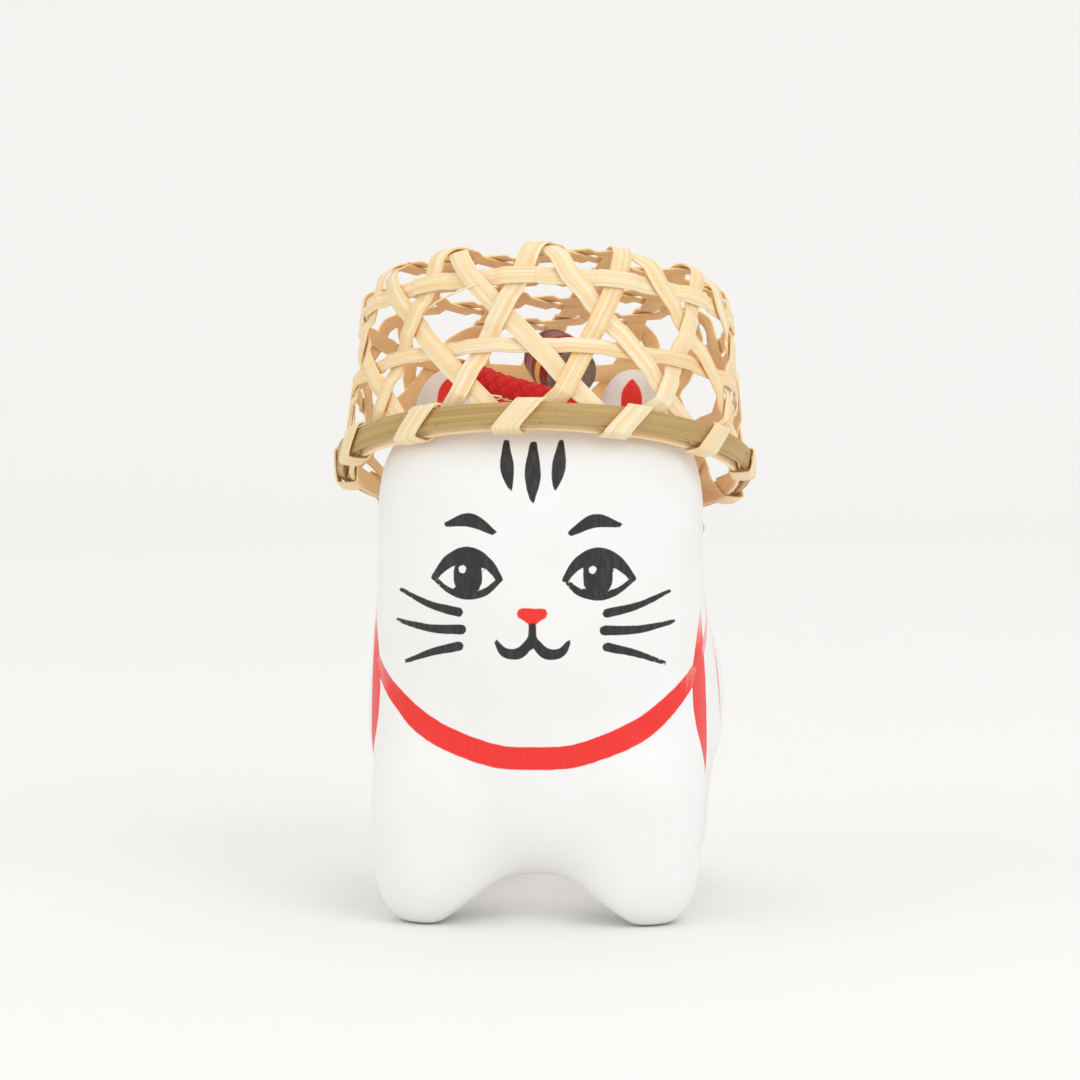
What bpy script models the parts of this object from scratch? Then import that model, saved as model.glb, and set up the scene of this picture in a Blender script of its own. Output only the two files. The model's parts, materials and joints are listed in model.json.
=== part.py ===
# Papier mache cat wearing a hexagonal weave bamboo basket. Metres, +Z up, the cat faces -Y.
import math

import bmesh
import bpy
import numpy as np
from mathutils import Matrix, Vector

# Cat body: a mould of soft egg shapes blended into one
head_width = 0.0558
head_depth = 0.0470
head_height = 0.0520
head_center_y = -0.0040
head_center_z = 0.0607
head_plan_power = 2.4
head_side_power = 4.0
torso_width = 0.0620
torso_length = 0.0740
torso_center_y = 0.0170
torso_center_z = 0.0330
torso_back_rise = 0.0315
torso_belly_drop = 0.0245
torso_round_power = 2.2
torso_long_power = 3.0
chest_width = 0.0500
chest_depth = 0.0340
chest_height = 0.0432
chest_center_y = -0.0075
chest_center_z = 0.0275
leg_width = 0.0210
leg_depth = 0.0200
leg_height = 0.0300
foot_flat_depth = 0.0008
leg_plan_power = 2.2
leg_side_power = 2.8
front_leg_x = 0.0173
front_leg_y = -0.0150
rear_leg_x = 0.0173
rear_leg_y = 0.0360
mould_blend = 0.0060
leg_blend = 0.0060
arch_half_width = 0.0159
arch_height = 0.0074
belly_center_y = 0.0120
belly_half_length = 0.0190
belly_height = 0.0090
arch_round = 0.0020
arch_slope = 0.75
paper_wall = 0.0020
foot_floor = 0.0025
seam_band_width = 0.0080
seam_band_thick = 0.0004

# Pasted ears and tail
ear_x = 0.0157
ear_rise = 0.0069
ear_width = 0.0120
ear_depth = 0.0090
ear_height = 0.0180
ear_segments = 16
ear_rings = 12
tail_radius = 0.0042
tail_root = 0.0080
tail_stand = 0.0050
tail_height = 0.0180
tail_rise_shares = (0.1, 0.25, 0.6, 1.0)
tail_stand_shares = (0.2, 0.9, 1.0)
tail_start_share = -0.35
tail_tip_share = 0.93
tail_steps = 3
tail_bevel_steps = 3

# Cord: hand-chosen route from the knot under the crown, round the drum, to the knot beside the nape
cord_radius = 0.0021
crown_knot_radius = 0.0052
nape_knot_radius = 0.0052
knot_segments = 12
knot_rings = 8
cord_points = (
    (0.0118, -0.0125, 0.0770),
    (0.0106, -0.0114, 0.0824),
    (0.0068, -0.0098, 0.0866),
    (0.0008, -0.0076, 0.0889),
    (-0.0070, -0.0034, 0.0908),
    (-0.0132, 0.0034, 0.0926),
    (-0.0155, 0.0109, 0.0902),
    (-0.0113, 0.0170, 0.0864),
    (-0.0030, 0.0189, 0.0838),
    (0.0074, 0.0184, 0.0830),
    (0.0150, 0.0177, 0.0805),
    (0.0204, 0.0165, 0.0758),
    (0.0236, 0.0162, 0.0706),
    (0.0254, 0.0169, 0.0654),
    (0.0246, 0.0184, 0.0606),
    (0.0221, 0.0200, 0.0562),
    (0.0192, 0.0214, 0.0522),
)
cord_steps = 2
cord_bevel_steps = 2

# Toy drum on its stick
drum_x = 0.0026
drum_y = 0.0080
drum_axis = (0.48, -0.80, -0.36)
drum_stick_axis = (0.10, 0.42, -0.80)
drum_radius = 0.0053
drum_length = 0.0080
drum_sides = 20
drum_barrel_wall = 0.0012
drum_edge_step = 0.0006
drum_skin_thick = 0.0006
drum_stick_radius = 0.0011
drum_stick_below = 0.0140
drum_stick_above = 0.0046

# Basket in its own frame: +Z from the rim plane to the closed top
basket_tilt = math.radians(18.0)
top_rise = 0.0067
level_rise = 0.0062
wall_flare = 0.0024
shoulder_radius = 0.0050
shoulder_stations = 5
shoulder_first_share = 0.02
strip_pitch = 0.0130
strip_width = 0.0034
strip_thick = 0.0004
first_heading = math.radians(15.0)
weave_turn = math.radians(60.0)
rim_slot_count = 12
upper_ring_width = 0.0030
lower_ring_width = 0.0026
level_drift = math.radians(7.5)
level_twist = math.radians(2.5)
outer_hoop_thick = 0.0011
outer_hoop_height = 0.0038
inner_hoop_thick = 0.0009
inner_hoop_height = 0.0036
inner_hoop_drop = 0.0007
hoop_steps = 60
hoop_kerf = 0.0003
outer_kerf_angle = math.radians(78.0)
inner_kerf_angle = math.radians(200.0)
wrap_inside_turn = math.radians(12.0)
wrap_outside_turn = math.radians(6.0)
wrap_start_share = 0.15
wrap_bend_share = 0.1
wrap_end_share = 0.2
wrap_bend_normal = (0.4, 0.9)
wrap_corner = 0.0005
wrap_fold = 0.0012
hoop_kerf_slant = math.radians(35.0)

gap = 0.0003
path_samples = 160
wall_samples = 420
seam_band_steps = 40
round_sides = 12
skin_step = 0.0031
hollow_step = 0.0042
skin_round_count = 6
slope_step = 0.00001
halvings = 24
seat_samples = 180
first_lean = 0.1


def collection(name, hidden=False):
    made = bpy.data.collections.new(name)
    made.hide_render = hidden
    bpy.context.scene.collection.children.link(made)
    return made


def material(name, color, roughness):
    made = bpy.data.materials.new(name)
    made.use_nodes = True
    shader = made.node_tree.nodes["Principled BSDF"]
    shader.inputs["Base Color"].default_value = (*color, 1.0)
    shader.inputs["Roughness"].default_value = roughness
    return made


def empty(name, parent=None, matrix=None):
    made = bpy.data.objects.new(name, None)
    made.empty_display_size = 0.01
    parts.objects.link(made)
    made.parent = parent
    if matrix is not None:
        made.matrix_basis = matrix
    return made


def part(name, data, finish, parent):
    made = bpy.data.objects.new(name, data)
    data.materials.append(finish)
    parts.objects.link(made)
    made.parent = parent
    return made


def cutter(name, data, parent):
    made = bpy.data.objects.new(name, data)
    cutters.objects.link(made)
    made.parent = parent
    made.hide_render = True
    made.display_type = "WIRE"
    return made


def cut(obj, *tools):
    for tool in tools:
        step = obj.modifiers.new("cut " + tool.name, "BOOLEAN")
        step.operation = "DIFFERENCE"
        step.solver = "EXACT"
        step.object = tool


def bmesh_data(name, bm):
    data = bpy.data.meshes.new(name)
    bm.to_mesh(data)
    bm.free()
    return data


def box_data(name, low, high):
    bm = bmesh.new()
    bmesh.ops.create_cube(bm, size=1.0)
    size = Vector(high) - Vector(low)
    middle = (Vector(high) + Vector(low)) / 2
    bmesh.ops.transform(bm, matrix=Matrix.Translation(middle) @ Matrix.Diagonal((*size, 1.0)), verts=bm.verts)
    return bmesh_data(name, bm)


def cylinder_data(name, radius, length, sides):
    bm = bmesh.new()
    bmesh.ops.create_cone(
        bm, cap_ends=True, segments=sides, radius1=radius, radius2=radius, depth=length
    )
    return bmesh_data(name, bm)


def tube_curve(name, points, radii, resolution):
    data = bpy.data.curves.new(name, "CURVE")
    data.dimensions = "3D"
    data.bevel_depth = 1.0
    data.bevel_resolution = resolution
    data.use_fill_caps = True
    spline = data.splines.new("POLY")
    spline.points.add(len(points) - 1)
    for knot, place, radius in zip(spline.points, points, radii):
        knot.co = (*place, 1.0)
        knot.radius = radius
    return data


def tube_mesh(name, points, radii, resolution):
    data = tube_curve(name, points, radii, resolution)
    helper = bpy.data.objects.new(name, data)
    cutters.objects.link(helper)
    graph = bpy.context.evaluated_depsgraph_get()
    made = bpy.data.meshes.new_from_object(helper.evaluated_get(graph))
    bpy.data.objects.remove(helper)
    bm = bmesh.new()
    bm.from_mesh(made)
    bmesh.ops.remove_doubles(bm, verts=bm.verts, dist=0.000001)
    bmesh.ops.recalc_face_normals(bm, faces=bm.faces)
    return bmesh_data(name, bm)


def smooth_path(points, steps):
    """Points of a Catmull-Rom curve through the given ones."""
    given = np.array(points)
    padded = np.vstack([2 * given[0] - given[1], given, 2 * given[-1] - given[-2]])
    found = []
    for i in range(len(given) - 1):
        a, b, c, d = padded[i : i + 4]
        for step in range(steps):
            t = step / steps
            found.append(
                0.5 * (2 * b + (c - a) * t)
                + 0.5 * ((2 * a - 5 * b + 4 * c - d) * t**2 + (3 * b - a - 3 * c + d) * t**3)
            )
    found.append(given[-1])
    return np.array(found)


# Mould of the cat

def blend(first, second, width):
    mix = np.clip(0.5 + 0.5 * (second - first) / width, 0.0, 1.0)
    return second + (first - second) * mix - width * mix * (1 - mix)


def egg(points, center, half, plan_power, side_power):
    x, y, z = np.abs((points - np.array(center)) / np.array(half)).T
    plan = (x**plan_power + y**plan_power) ** (side_power / plan_power)
    return ((plan + z**side_power) ** (1 / side_power) - 1) * min(half)


def torso(points):
    x, y, z = (points - np.array((0.0, torso_center_y, torso_center_z))).T
    rise = np.where(z > 0, torso_back_rise, torso_belly_drop)
    round_part = np.abs(2 * x / torso_width) ** torso_round_power + np.abs(z / rise) ** torso_round_power
    long_part = np.abs(2 * y / torso_length) ** torso_long_power
    level = (round_part ** (torso_long_power / torso_round_power) + long_part) ** (1 / torso_long_power)
    return (level - 1) * torso_belly_drop


def arched(level, points):
    """The level cut away below the arches between the feet, with a rounded edge."""
    across = arch_height * (1 - (points[:, 0] / arch_half_width) ** 2)
    along = belly_height * (1 - ((points[:, 1] - belly_center_y) / belly_half_length) ** 2)
    below = -blend(-across, -along, arch_round) - points[:, 2]
    return -blend(-level, -arch_slope * below, arch_round)


def core(points):
    """About the distance to the head, chest and torso without legs, negative inside."""
    head = egg(
        points,
        (0.0, head_center_y, head_center_z),
        (head_width / 2, head_depth / 2, head_height / 2),
        head_plan_power,
        head_side_power,
    )
    chest = egg(
        points,
        (0.0, chest_center_y, chest_center_z),
        (chest_width / 2, chest_depth / 2, chest_height / 2),
        head_plan_power,
        head_plan_power,
    )
    return blend(blend(head, torso(points), mould_blend), chest, mould_blend)


def leg(points, middle):
    return egg(points, middle, (leg_width / 2, leg_depth / 2, leg_height / 2), leg_plan_power, leg_side_power)


def mould(points):
    """About the distance to the outside of the paper, negative inside."""
    mirrored = np.column_stack((np.abs(points[:, 0]), points[:, 1], points[:, 2]))
    front_leg = leg(mirrored, (front_leg_x, front_leg_y, leg_center_z))
    rear_leg = leg(mirrored, (rear_leg_x, rear_leg_y, leg_center_z))
    legs = np.minimum(front_leg, rear_leg)
    return arched(blend(core(points), legs, leg_blend), points)


def skin_data(name, level, step):
    """A closed skin where level crosses zero: a point in each lattice cell that it crosses, moved onto it."""
    reach = np.arange(-math.ceil(mould_reach / step), math.ceil(mould_reach / step) + 1) * step
    axes = [middle + reach for middle in mould_middle]
    size = len(reach)
    lattice = np.stack(np.meshgrid(*axes, indexing="ij"), axis=-1).reshape(-1, 3)
    inside = (level(lattice) < 0).reshape(size, size, size).astype(int)
    corners = 0
    for i, j, k in np.ndindex(2, 2, 2):
        corners = corners + inside[i : size - 1 + i, j : size - 1 + j, k : size - 1 + k]
    crossed = (corners > 0) & (corners < 8)
    number = np.full(crossed.shape, -1)
    number[crossed] = np.arange(crossed.sum())
    points = np.column_stack([axis[cell] + step / 2 for axis, cell in zip(axes, np.nonzero(crossed))])
    quads = []
    for axis in range(3):
        change = np.diff(inside, axis=axis)
        edges = np.argwhere(change != 0)
        first, second = np.eye(3, dtype=int)[[(axis + 1) % 3, (axis + 2) % 3]]
        around = (edges - first - second, edges - second, edges, edges - first)
        ring = np.column_stack([number[tuple(cell.T)] for cell in around])
        rising = change[tuple(edges.T)] > 0
        quads.append(np.where(rising[:, None], ring[:, ::-1], ring))
    for _ in range(skin_round_count):
        value = level(points)
        slope = np.column_stack([level(points + slope_step * way) - value for way in np.eye(3)]) / slope_step
        points = points - slope * (value / (slope**2).sum(axis=1))[:, None]
    data = bpy.data.meshes.new(name)
    data.from_pydata(points.tolist(), [], np.vstack(quads).tolist())
    return data


def build_body():
    around = 2 * mould_reach

    def inside(points):
        return np.maximum(mould(points) + paper_wall, foot_floor - points[:, 2])

    hollow = cutter("body_hollow", skin_data("body_hollow", inside, hollow_step), cat)
    below = box_data("ground_box", (-around, -around, -around), (around, around, 0.0))
    ground = cutter("ground_box", below, cat)
    holes = tube_mesh("cord_holes", cord_path, [cord_radius + gap] * len(cord_path), cord_bevel_steps)
    pierce = cutter("cord_holes", holes, cat)
    socket_data = cylinder_data("stick_hole", drum_stick_radius + gap, 3 * drum_stick_below, round_sides)
    socket = cutter("stick_hole", socket_data, cat)
    socket.matrix_basis = stick_frame
    for side, name in ((1, "body_left_half"), (-1, "body_right_half")):
        low = (min(-side * around, side * gap / 2), -around, -around)
        high = (max(-side * around, side * gap / 2), around, around)
        other = cutter("not_" + name, box_data("not_" + name, low, high), cat)
        half = part(name, skin_data(name, mould, skin_step), paper, cat)
        cut(half, hollow, other, ground, pierce, socket)
    return pierce, socket


def build_seam_band(pierce, socket):
    turns = np.linspace(0, 2 * math.pi, seam_band_steps + 1)[:-1]
    count = len(turns)

    def placed(across, radii):
        points = np.column_stack((np.full(count, across), radii * np.cos(turns), radii * np.sin(turns)))
        return points + np.array(mould_middle)

    rows = []
    for across in (-seam_band_width / 2, 0.0, seam_band_width / 2):
        radii = np.full(count, paper_wall)
        outside = np.full(count, mould_reach)
        for _ in range(halvings):
            half = (radii + outside) / 2
            deep = mould(placed(across, half)) < -paper_wall - 2 * gap - seam_band_thick / 2
            radii = np.where(deep, half, radii)
            outside = np.where(deep, outside, half)
        rows.append(placed(across, radii))
    faces = []
    for row in range(2):
        for i in range(count):
            here, beside = row * count + i, row * count + (i + 1) % count
            faces.append((here, beside, beside + count, here + count))
    data = bpy.data.meshes.new("seam_paper_band")
    data.from_pydata(np.vstack(rows).tolist(), [], faces)
    band = part("seam_paper_band", data, paper, cat)
    thicken(band, seam_band_thick)
    cut(band, pierce, socket)


def thicken(obj, thickness):
    shell = obj.modifiers.new("thickness", "SOLIDIFY")
    shell.thickness = thickness
    shell.offset = 0.0
    shell.use_even_offset = False


def build_ears(pierce):
    seat = cutter("ear_seat", skin_data("ear_seat", lambda points: mould(points) - gap, skin_step), cat)
    for side, name in ((-1, "ear_right"), (1, "ear_left")):
        bm = bmesh.new()
        bmesh.ops.create_uvsphere(bm, u_segments=ear_segments, v_segments=ear_rings, radius=0.5)
        size = Matrix.Diagonal((ear_width, ear_depth, ear_height, 1.0))
        place = Matrix.Translation((side * ear_x, head_center_y, crown_z + ear_rise - ear_height / 2))
        bmesh.ops.transform(bm, matrix=place @ size, verts=bm.verts)
        ear = part(name, bmesh_data(name, bm), paper, cat)
        cut(ear, seat, pierce)
    return seat


def build_tail(seat):
    rump = torso_center_y + torso_length / 2
    behind = [-tail_root] + [tail_stand * share for share in tail_stand_shares]
    above = [tail_height * share for share in tail_rise_shares]
    knots = [(0.0, rump + y, torso_center_z + z) for y, z in zip(behind, above)]
    points = smooth_path(knots, tail_steps)
    radii = tail_radius * np.sqrt(1 - np.linspace(tail_start_share, tail_tip_share, len(points)) ** 2)
    tail = part("tail", tube_mesh("tail", points, radii, tail_bevel_steps), paper, cat)
    cut(tail, seat)


def build_cord():
    tube = tube_curve("red_cord", cord_path, [cord_radius] * len(cord_path), cord_bevel_steps)
    part("red_cord", tube, cord_red, cat)
    ends = (
        ("cord_knot_crown", cord_path[0], cord_path[0] - cord_path[1], crown_knot_radius),
        ("cord_knot_nape", cord_path[-1], cord_path[-1] - cord_path[-2], nape_knot_radius),
    )
    for name, place, heading, radius in ends:
        bm = bmesh.new()
        bmesh.ops.create_uvsphere(bm, u_segments=knot_segments, v_segments=knot_rings, radius=radius)
        lean = Vector(heading).to_track_quat("Z", "Y").to_matrix().to_4x4()
        away = Vector(place) + Vector(heading).normalized() * (radius + gap)
        bmesh.ops.transform(bm, matrix=Matrix.Translation(away) @ lean, verts=bm.verts)
        part(name, bmesh_data(name, bm), cord_red, cat)


# Toy drum

def screw_data(name, outline):
    data = bpy.data.meshes.new(name)
    count = len(outline)
    data.from_pydata([(x, 0.0, z) for x, z in outline], [(i, (i + 1) % count) for i in range(count)], [])
    return data


def revolve(obj, steps):
    turn = obj.modifiers.new("turned", "SCREW")
    turn.steps = steps
    turn.render_steps = steps
    turn.use_merge_vertices = True
    turn.merge_threshold = 0.00001
    turn.use_normal_calculate = True


def build_drum():
    half = drum_length / 2
    edge = drum_radius - drum_edge_step
    bore = drum_radius - drum_barrel_wall
    bulge = (drum_radius, half / 3), (drum_radius, -half / 3)
    outline = ((bore, half), (edge, half), *bulge, (edge, -half), (bore, -half))
    barrel = part("drum_barrel", screw_data("drum_barrel", outline), lacquer, drum)
    barrel.matrix_basis = drum_spin
    revolve(barrel, drum_sides)
    hole = cylinder_data("drum_stick_hole", drum_stick_radius + gap, 3 * drum_radius, round_sides)
    cut(barrel, cutter("drum_stick_hole", hole, drum))
    for side, name in ((1, "drum_front_skin"), (-1, "drum_rear_skin")):
        data = cylinder_data(name, edge, drum_skin_thick, drum_sides)
        skin = part(name, data, drum_hide, drum)
        away = side * (half + gap + drum_skin_thick / 2)
        skin.matrix_basis = drum_spin @ Matrix.Translation((0.0, 0.0, away))
    length = drum_stick_above + drum_stick_below
    rod = cylinder_data("drum_stick", drum_stick_radius, length, round_sides)
    stick = part("drum_stick", rod, bamboo, drum)
    stick.matrix_basis = Matrix.Translation((0.0, 0.0, (drum_stick_above - drum_stick_below) / 2))


# Basket

def wall_lean():
    """Lean of the straight wall, so that it runs from the shoulder arc to the rim."""
    lean = first_lean
    for _ in range(halvings):
        run = basket_height - shoulder_radius * (1 - math.sin(lean))
        lean = math.atan((rim_radius - top_flat_radius - shoulder_radius * math.cos(lean)) / run)
    return lean


def surface(length):
    """Radius, height and normal of the basket's middle surface at a length from the top's middle."""
    turn_end = math.pi / 2 - lean
    arc = shoulder_radius * turn_end
    turn = np.clip((length - top_flat_radius) / shoulder_radius, 0.0, turn_end)
    run = np.maximum(length - top_flat_radius - arc, 0.0)
    radius = np.minimum(length, top_flat_radius) + shoulder_radius * np.sin(turn) + run * math.sin(lean)
    height = basket_height - shoulder_radius * (1 - np.cos(turn)) - run * math.cos(lean)
    return radius, height, np.sin(turn), np.cos(turn)


def length_at(height):
    corner = basket_height - shoulder_radius * (1 - math.sin(lean))
    arc = shoulder_radius * (math.pi / 2 - lean)
    return top_flat_radius + arc + (corner - height) / math.cos(lean)


def on_basket(lengths, angles):
    """Places and normals; an angle of 0 is the front and a larger one lies further to +X."""
    radius, height, flat, steep = surface(np.asarray(lengths))
    out = np.column_stack((np.sin(angles), -np.cos(angles), np.zeros(len(angles))))
    places = out * radius[:, None]
    places[:, 2] = height
    normals = out * flat[:, None]
    normals[:, 2] = steep
    return places, normals


def half_footprint(width, other_width, angle):
    return (other_width / 2 + width / 2 * abs(math.cos(angle))) / math.sin(angle)


def strip_side(heading, offset):
    """One half of a strip, from the top's middle line to the rim: dense places, normals and its crossings."""
    flat_end = math.sqrt(top_flat_radius**2 - offset**2)
    runs = np.linspace(0.0, flat_end, path_samples)
    along = np.array((math.sin(heading), -math.cos(heading), 0.0))
    across = np.array((math.cos(heading), math.sin(heading), 0.0))
    places = runs[:, None] * along + offset * across
    places[:, 2] = basket_height
    normals = np.tile((0.0, 0.0, 1.0), (len(runs), 1))
    sense = 1 if offset > 0 else -1
    slots = round((abs(offset) / strip_pitch) - 0.5)
    exact = heading + math.asin(offset / top_flat_radius)
    nominal = heading + sense * slot_turn * (0.5 + slots)
    step = level_twist - sense * level_drift
    levels = np.array([top_flat_radius] + [length_at(h) for h in level_heights])
    angles = np.array([exact] + [nominal + step * (i + 1) for i in range(len(level_heights))])
    lengths = np.linspace(levels[0], levels[-1], wall_samples)[1:]
    wall_places, wall_normals = on_basket(lengths, np.interp(lengths, levels, angles))
    crossings = np.arange(flat_end - pitch_step, 0.0, -pitch_step)[::-1]
    places = np.vstack((places, wall_places))
    distance = np.concatenate(([0.0], np.cumsum(np.linalg.norm(np.diff(places, axis=0), axis=1))))
    walls = np.interp(levels[1:5], lengths, distance[path_samples:])
    marks = [*crossings, flat_end, *walls]
    kinds = ["flat"] * len(crossings) + ["edge", "upper ring", "cross", "lower ring", "cross"]
    shares = np.linspace(shoulder_first_share, 1.0, shoulder_stations)
    bend = top_flat_radius + shoulder_radius * (math.pi / 2 - lean) * shares
    bends = np.interp(bend, lengths, distance[path_samples:])
    return places, np.vstack((normals, wall_normals)), distance, marks, kinds, angles[-1], sense, bends


def plateau(kind, sense):
    slope = math.atan(abs(level_twist - sense * level_drift) * rim_radius / level_rise)
    other = math.atan(abs(level_twist + sense * level_drift) * rim_radius / level_rise)
    if kind == "flat":
        return half_footprint(strip_width, strip_width, weave_turn)
    if kind == "edge":
        run = length_at(level_heights[0]) - top_flat_radius
        return half_footprint(strip_width, strip_width, 2 * math.atan(level_drift * top_flat_radius / run))
    if kind == "cross":
        return half_footprint(strip_width, strip_width, slope + other)
    ring_width = upper_ring_width if kind == "upper ring" else lower_ring_width
    return half_footprint(strip_width, ring_width, math.pi / 2 - slope)


def stations(places, normals, distance, marks, kinds, senses, first_sign, extra):
    """Places, normals and lifts at the ends of each crossing's flat stretch and at the extra distances."""
    knots, lifts = [], []
    for i, (mark, kind, sense) in enumerate(zip(marks, kinds, senses)):
        before = after = plateau(kind, sense)
        if kind == "edge":
            inward = plateau("flat", sense)
            before, after = (before, inward) if i < len(marks) / 2 else (inward, after)
        lift = weave_offset * first_sign * (-1) ** i
        knots += [mark - before, mark + after]
        lifts += [lift, lift]
    at = np.sort(np.concatenate((knots, extra)))
    lift = np.interp(at, knots, lifts)
    found = np.column_stack([np.interp(at, distance, places[:, k]) for k in range(3)])
    faced = np.column_stack([np.interp(at, distance, normals[:, k]) for k in range(3)])
    faced /= np.linalg.norm(faced, axis=1)[:, None]
    return found + faced * lift[:, None], faced


def ring_places(radius, height, angle):
    return (radius * math.sin(angle), -radius * math.cos(angle), height)


def rim_route(route, lean_run):
    """Places, normals and half widths of a strip folded along the rim; each fold runs round the rim."""
    places, faced, across = [], [], []
    for radius, height, angle, (out, up) in route:
        around = np.array((math.cos(angle), math.sin(angle), 0.0))
        places.append(ring_places(radius, height, angle))
        faced.append((out * math.sin(angle), -out * math.cos(angle), up))
        across.append(around * strip_width / 2 * math.hypot(1.0, lean_run))
    return np.array(places), np.array(faced), np.array(across)


def rim_wrap(angle):
    """A strip's end: down inside both hoops, under them, up the outside and folded over the top."""
    outer = outer_hoop_radius + outer_hoop_thick + gap + strip_thick / 2
    inner = inner_hoop_radius - gap - strip_thick / 2
    outer_top = outer_hoop_height / 2 + gap + strip_thick / 2
    inner_top = inner_hoop_height / 2 - inner_hoop_drop + gap
    under = -inner_hoop_height / 2 - inner_hoop_drop - gap - strip_thick / 2
    start = angle - wrap_inside_turn * wrap_start_share
    low = angle - wrap_inside_turn
    end = low + wrap_outside_turn
    slant, level = wrap_bend_normal
    route = (
        (inner, inner_top, start, (1, 0)),
        (inner, under + wrap_corner, low + wrap_inside_turn * wrap_bend_share, (1, 0)),
        (inner + wrap_corner, under, low, (slant, level)),
        (outer - wrap_corner, under, low, (-slant, level)),
        (outer, under + wrap_corner, low, (-1, 0)),
        (outer, outer_top - wrap_corner, end, (-1, 0)),
        (outer - wrap_corner, outer_top, end + wrap_outside_turn * wrap_bend_share, (-slant, -level)),
        (outer - wrap_fold, outer_top, end + wrap_outside_turn * wrap_end_share, (0, -1)),
    )
    return rim_route(route, wrap_outside_turn * outer / outer_hoop_height)


def rim_tail(angle):
    """A strip's end between the two hoops, cut off level with their lower edge."""
    middle = inner_hoop_radius + inner_hoop_thick + hoop_slot / 2
    high = outer_hoop_height / 2 + gap
    low = -outer_hoop_height / 2
    slope = (level_twist + level_drift) / level_rise
    route = ((middle, high, angle - slope * high, (1, 0)), (middle, low, angle - slope * low, (1, 0)))
    return rim_route(route, slope * middle)


def ribbon(name, places, faced, width, finish, closed=False, folds=None):
    """A flat strip along the places, square to the normals there, apart from folds with their own width."""
    if closed:
        along = np.roll(places, -1, axis=0) - np.roll(places, 1, axis=0)
    else:
        along = np.gradient(places, axis=0)
        steps = np.diff(places, axis=0)
        steps /= np.linalg.norm(steps, axis=1)[:, None]
        along[1:-1] = steps[1:] + steps[:-1]
    across = np.cross(faced, along)
    across *= width / 2 / np.linalg.norm(across, axis=1)[:, None]
    for row, fold in (folds or {}).items():
        across[row] = fold if np.dot(fold, across[row]) > 0 else -fold
    points = np.empty((2 * len(places), 3))
    points[0::2] = places - across
    points[1::2] = places + across
    count = len(places)
    last = count if closed else count - 1
    faces = [
        (2 * i, 2 * ((i + 1) % count), 2 * ((i + 1) % count) + 1, 2 * i + 1)
        for i in range(last)
    ]
    data = bpy.data.meshes.new(name)
    data.from_pydata(points.tolist(), [], faces)
    strip = part(name, data, finish, basket)
    thicken(strip, strip_thick)
    return strip


def build_strips():
    number = 0
    for turn in range(3):
        for slot in (-1.5, -0.5, 0.5, 1.5):
            number += 1
            heading = first_heading + turn * weave_turn
            offset = slot * strip_pitch
            near = strip_side(heading, offset)
            far = strip_side(heading + math.pi, -offset)
            rows = [far[0][:0:-1], near[0]]
            faced = [far[1][:0:-1], near[1]]
            length = far[2][-1]
            distance = np.concatenate((length - far[2][:0:-1], length + near[2]))
            marks = [length - mark for mark in reversed(far[3])] + [length + mark for mark in near[3]]
            kinds = list(reversed(far[4])) + near[4]
            senses = [far[6]] * len(far[3]) + [near[6]] * len(near[3])
            extra = np.concatenate((length - far[7], length + near[7]))
            first_sign = 1 if far[6] > 0 else -1
            places, normals = stations(
                np.vstack(rows), np.vstack(faced), distance, marks, kinds, senses, first_sign, extra
            )
            ends = [rim_wrap(side[5]) if side[6] > 0 else rim_tail(side[5]) for side in (far, near)]
            places = np.vstack((ends[0][0][::-1], places, ends[1][0]))
            normals = np.vstack((ends[0][1][::-1], normals, ends[1][1]))
            folds = dict(enumerate(ends[0][2][::-1]))
            folds.update((len(places) - len(ends[1][2]) + i, fold) for i, fold in enumerate(ends[1][2]))
            ribbon(f"weave_strip_{number:02d}", places, normals, strip_width, bamboo, folds=folds)


def build_ring(name, width, level):
    """A woven ring: outside each strip that leans one way and inside each that leans the other."""
    height = level_heights[level - 1]
    radius, _, flat, steep = surface(np.array([length_at(height)]))
    places, normals, around = [], [], []
    for count in range(rim_slot_count):
        start = first_heading + slot_turn * (0.5 + count)
        for sense, lift in ((1, weave_offset), (-1, -weave_offset)):
            middle = start + (level_twist - sense * level_drift) * level
            slope = math.atan(abs(level_twist - sense * level_drift) * rim_radius / level_rise)
            reach = half_footprint(width, strip_width, math.pi / 2 - slope) / radius[0]
            for share in (-1, 1):
                angle = middle + share * reach
                out = np.array((math.sin(angle), -math.cos(angle), 0.0))
                normal = out * flat[0] + np.array((0.0, 0.0, steep[0]))
                places.append(out * radius[0] + np.array((0.0, 0.0, height)) + normal * lift)
                normals.append(normal)
                around.append(angle % (2 * math.pi))
    order = np.argsort(around)
    ribbon(name, np.array(places)[order], np.array(normals)[order], width, bamboo, closed=True)


def build_hoop(name, radius, thick, height, drop, kerf_angle, finish):
    top = height / 2 - drop
    low = -height / 2 - drop
    outline = ((radius, top), (radius + thick, top), (radius + thick, low), (radius, low))
    hoop = part(name, screw_data(name, outline), finish, basket)
    revolve(hoop, hoop_steps)
    kerf = cutter(
        "kerf_" + name,
        box_data("kerf_" + name, (-hoop_kerf / 2, -2 * thick, -height), (hoop_kerf / 2, 2 * thick, height)),
        basket,
    )
    out = Matrix.Translation((radius + thick / 2, 0, -drop))
    place = Matrix.Rotation(kerf_angle - math.pi / 2, 4, "Z") @ out @ Matrix.Rotation(math.pi / 2, 4, "Z")
    kerf.matrix_basis = place @ Matrix.Rotation(hoop_kerf_slant, 4, "Y")
    cut(hoop, kerf)


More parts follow.
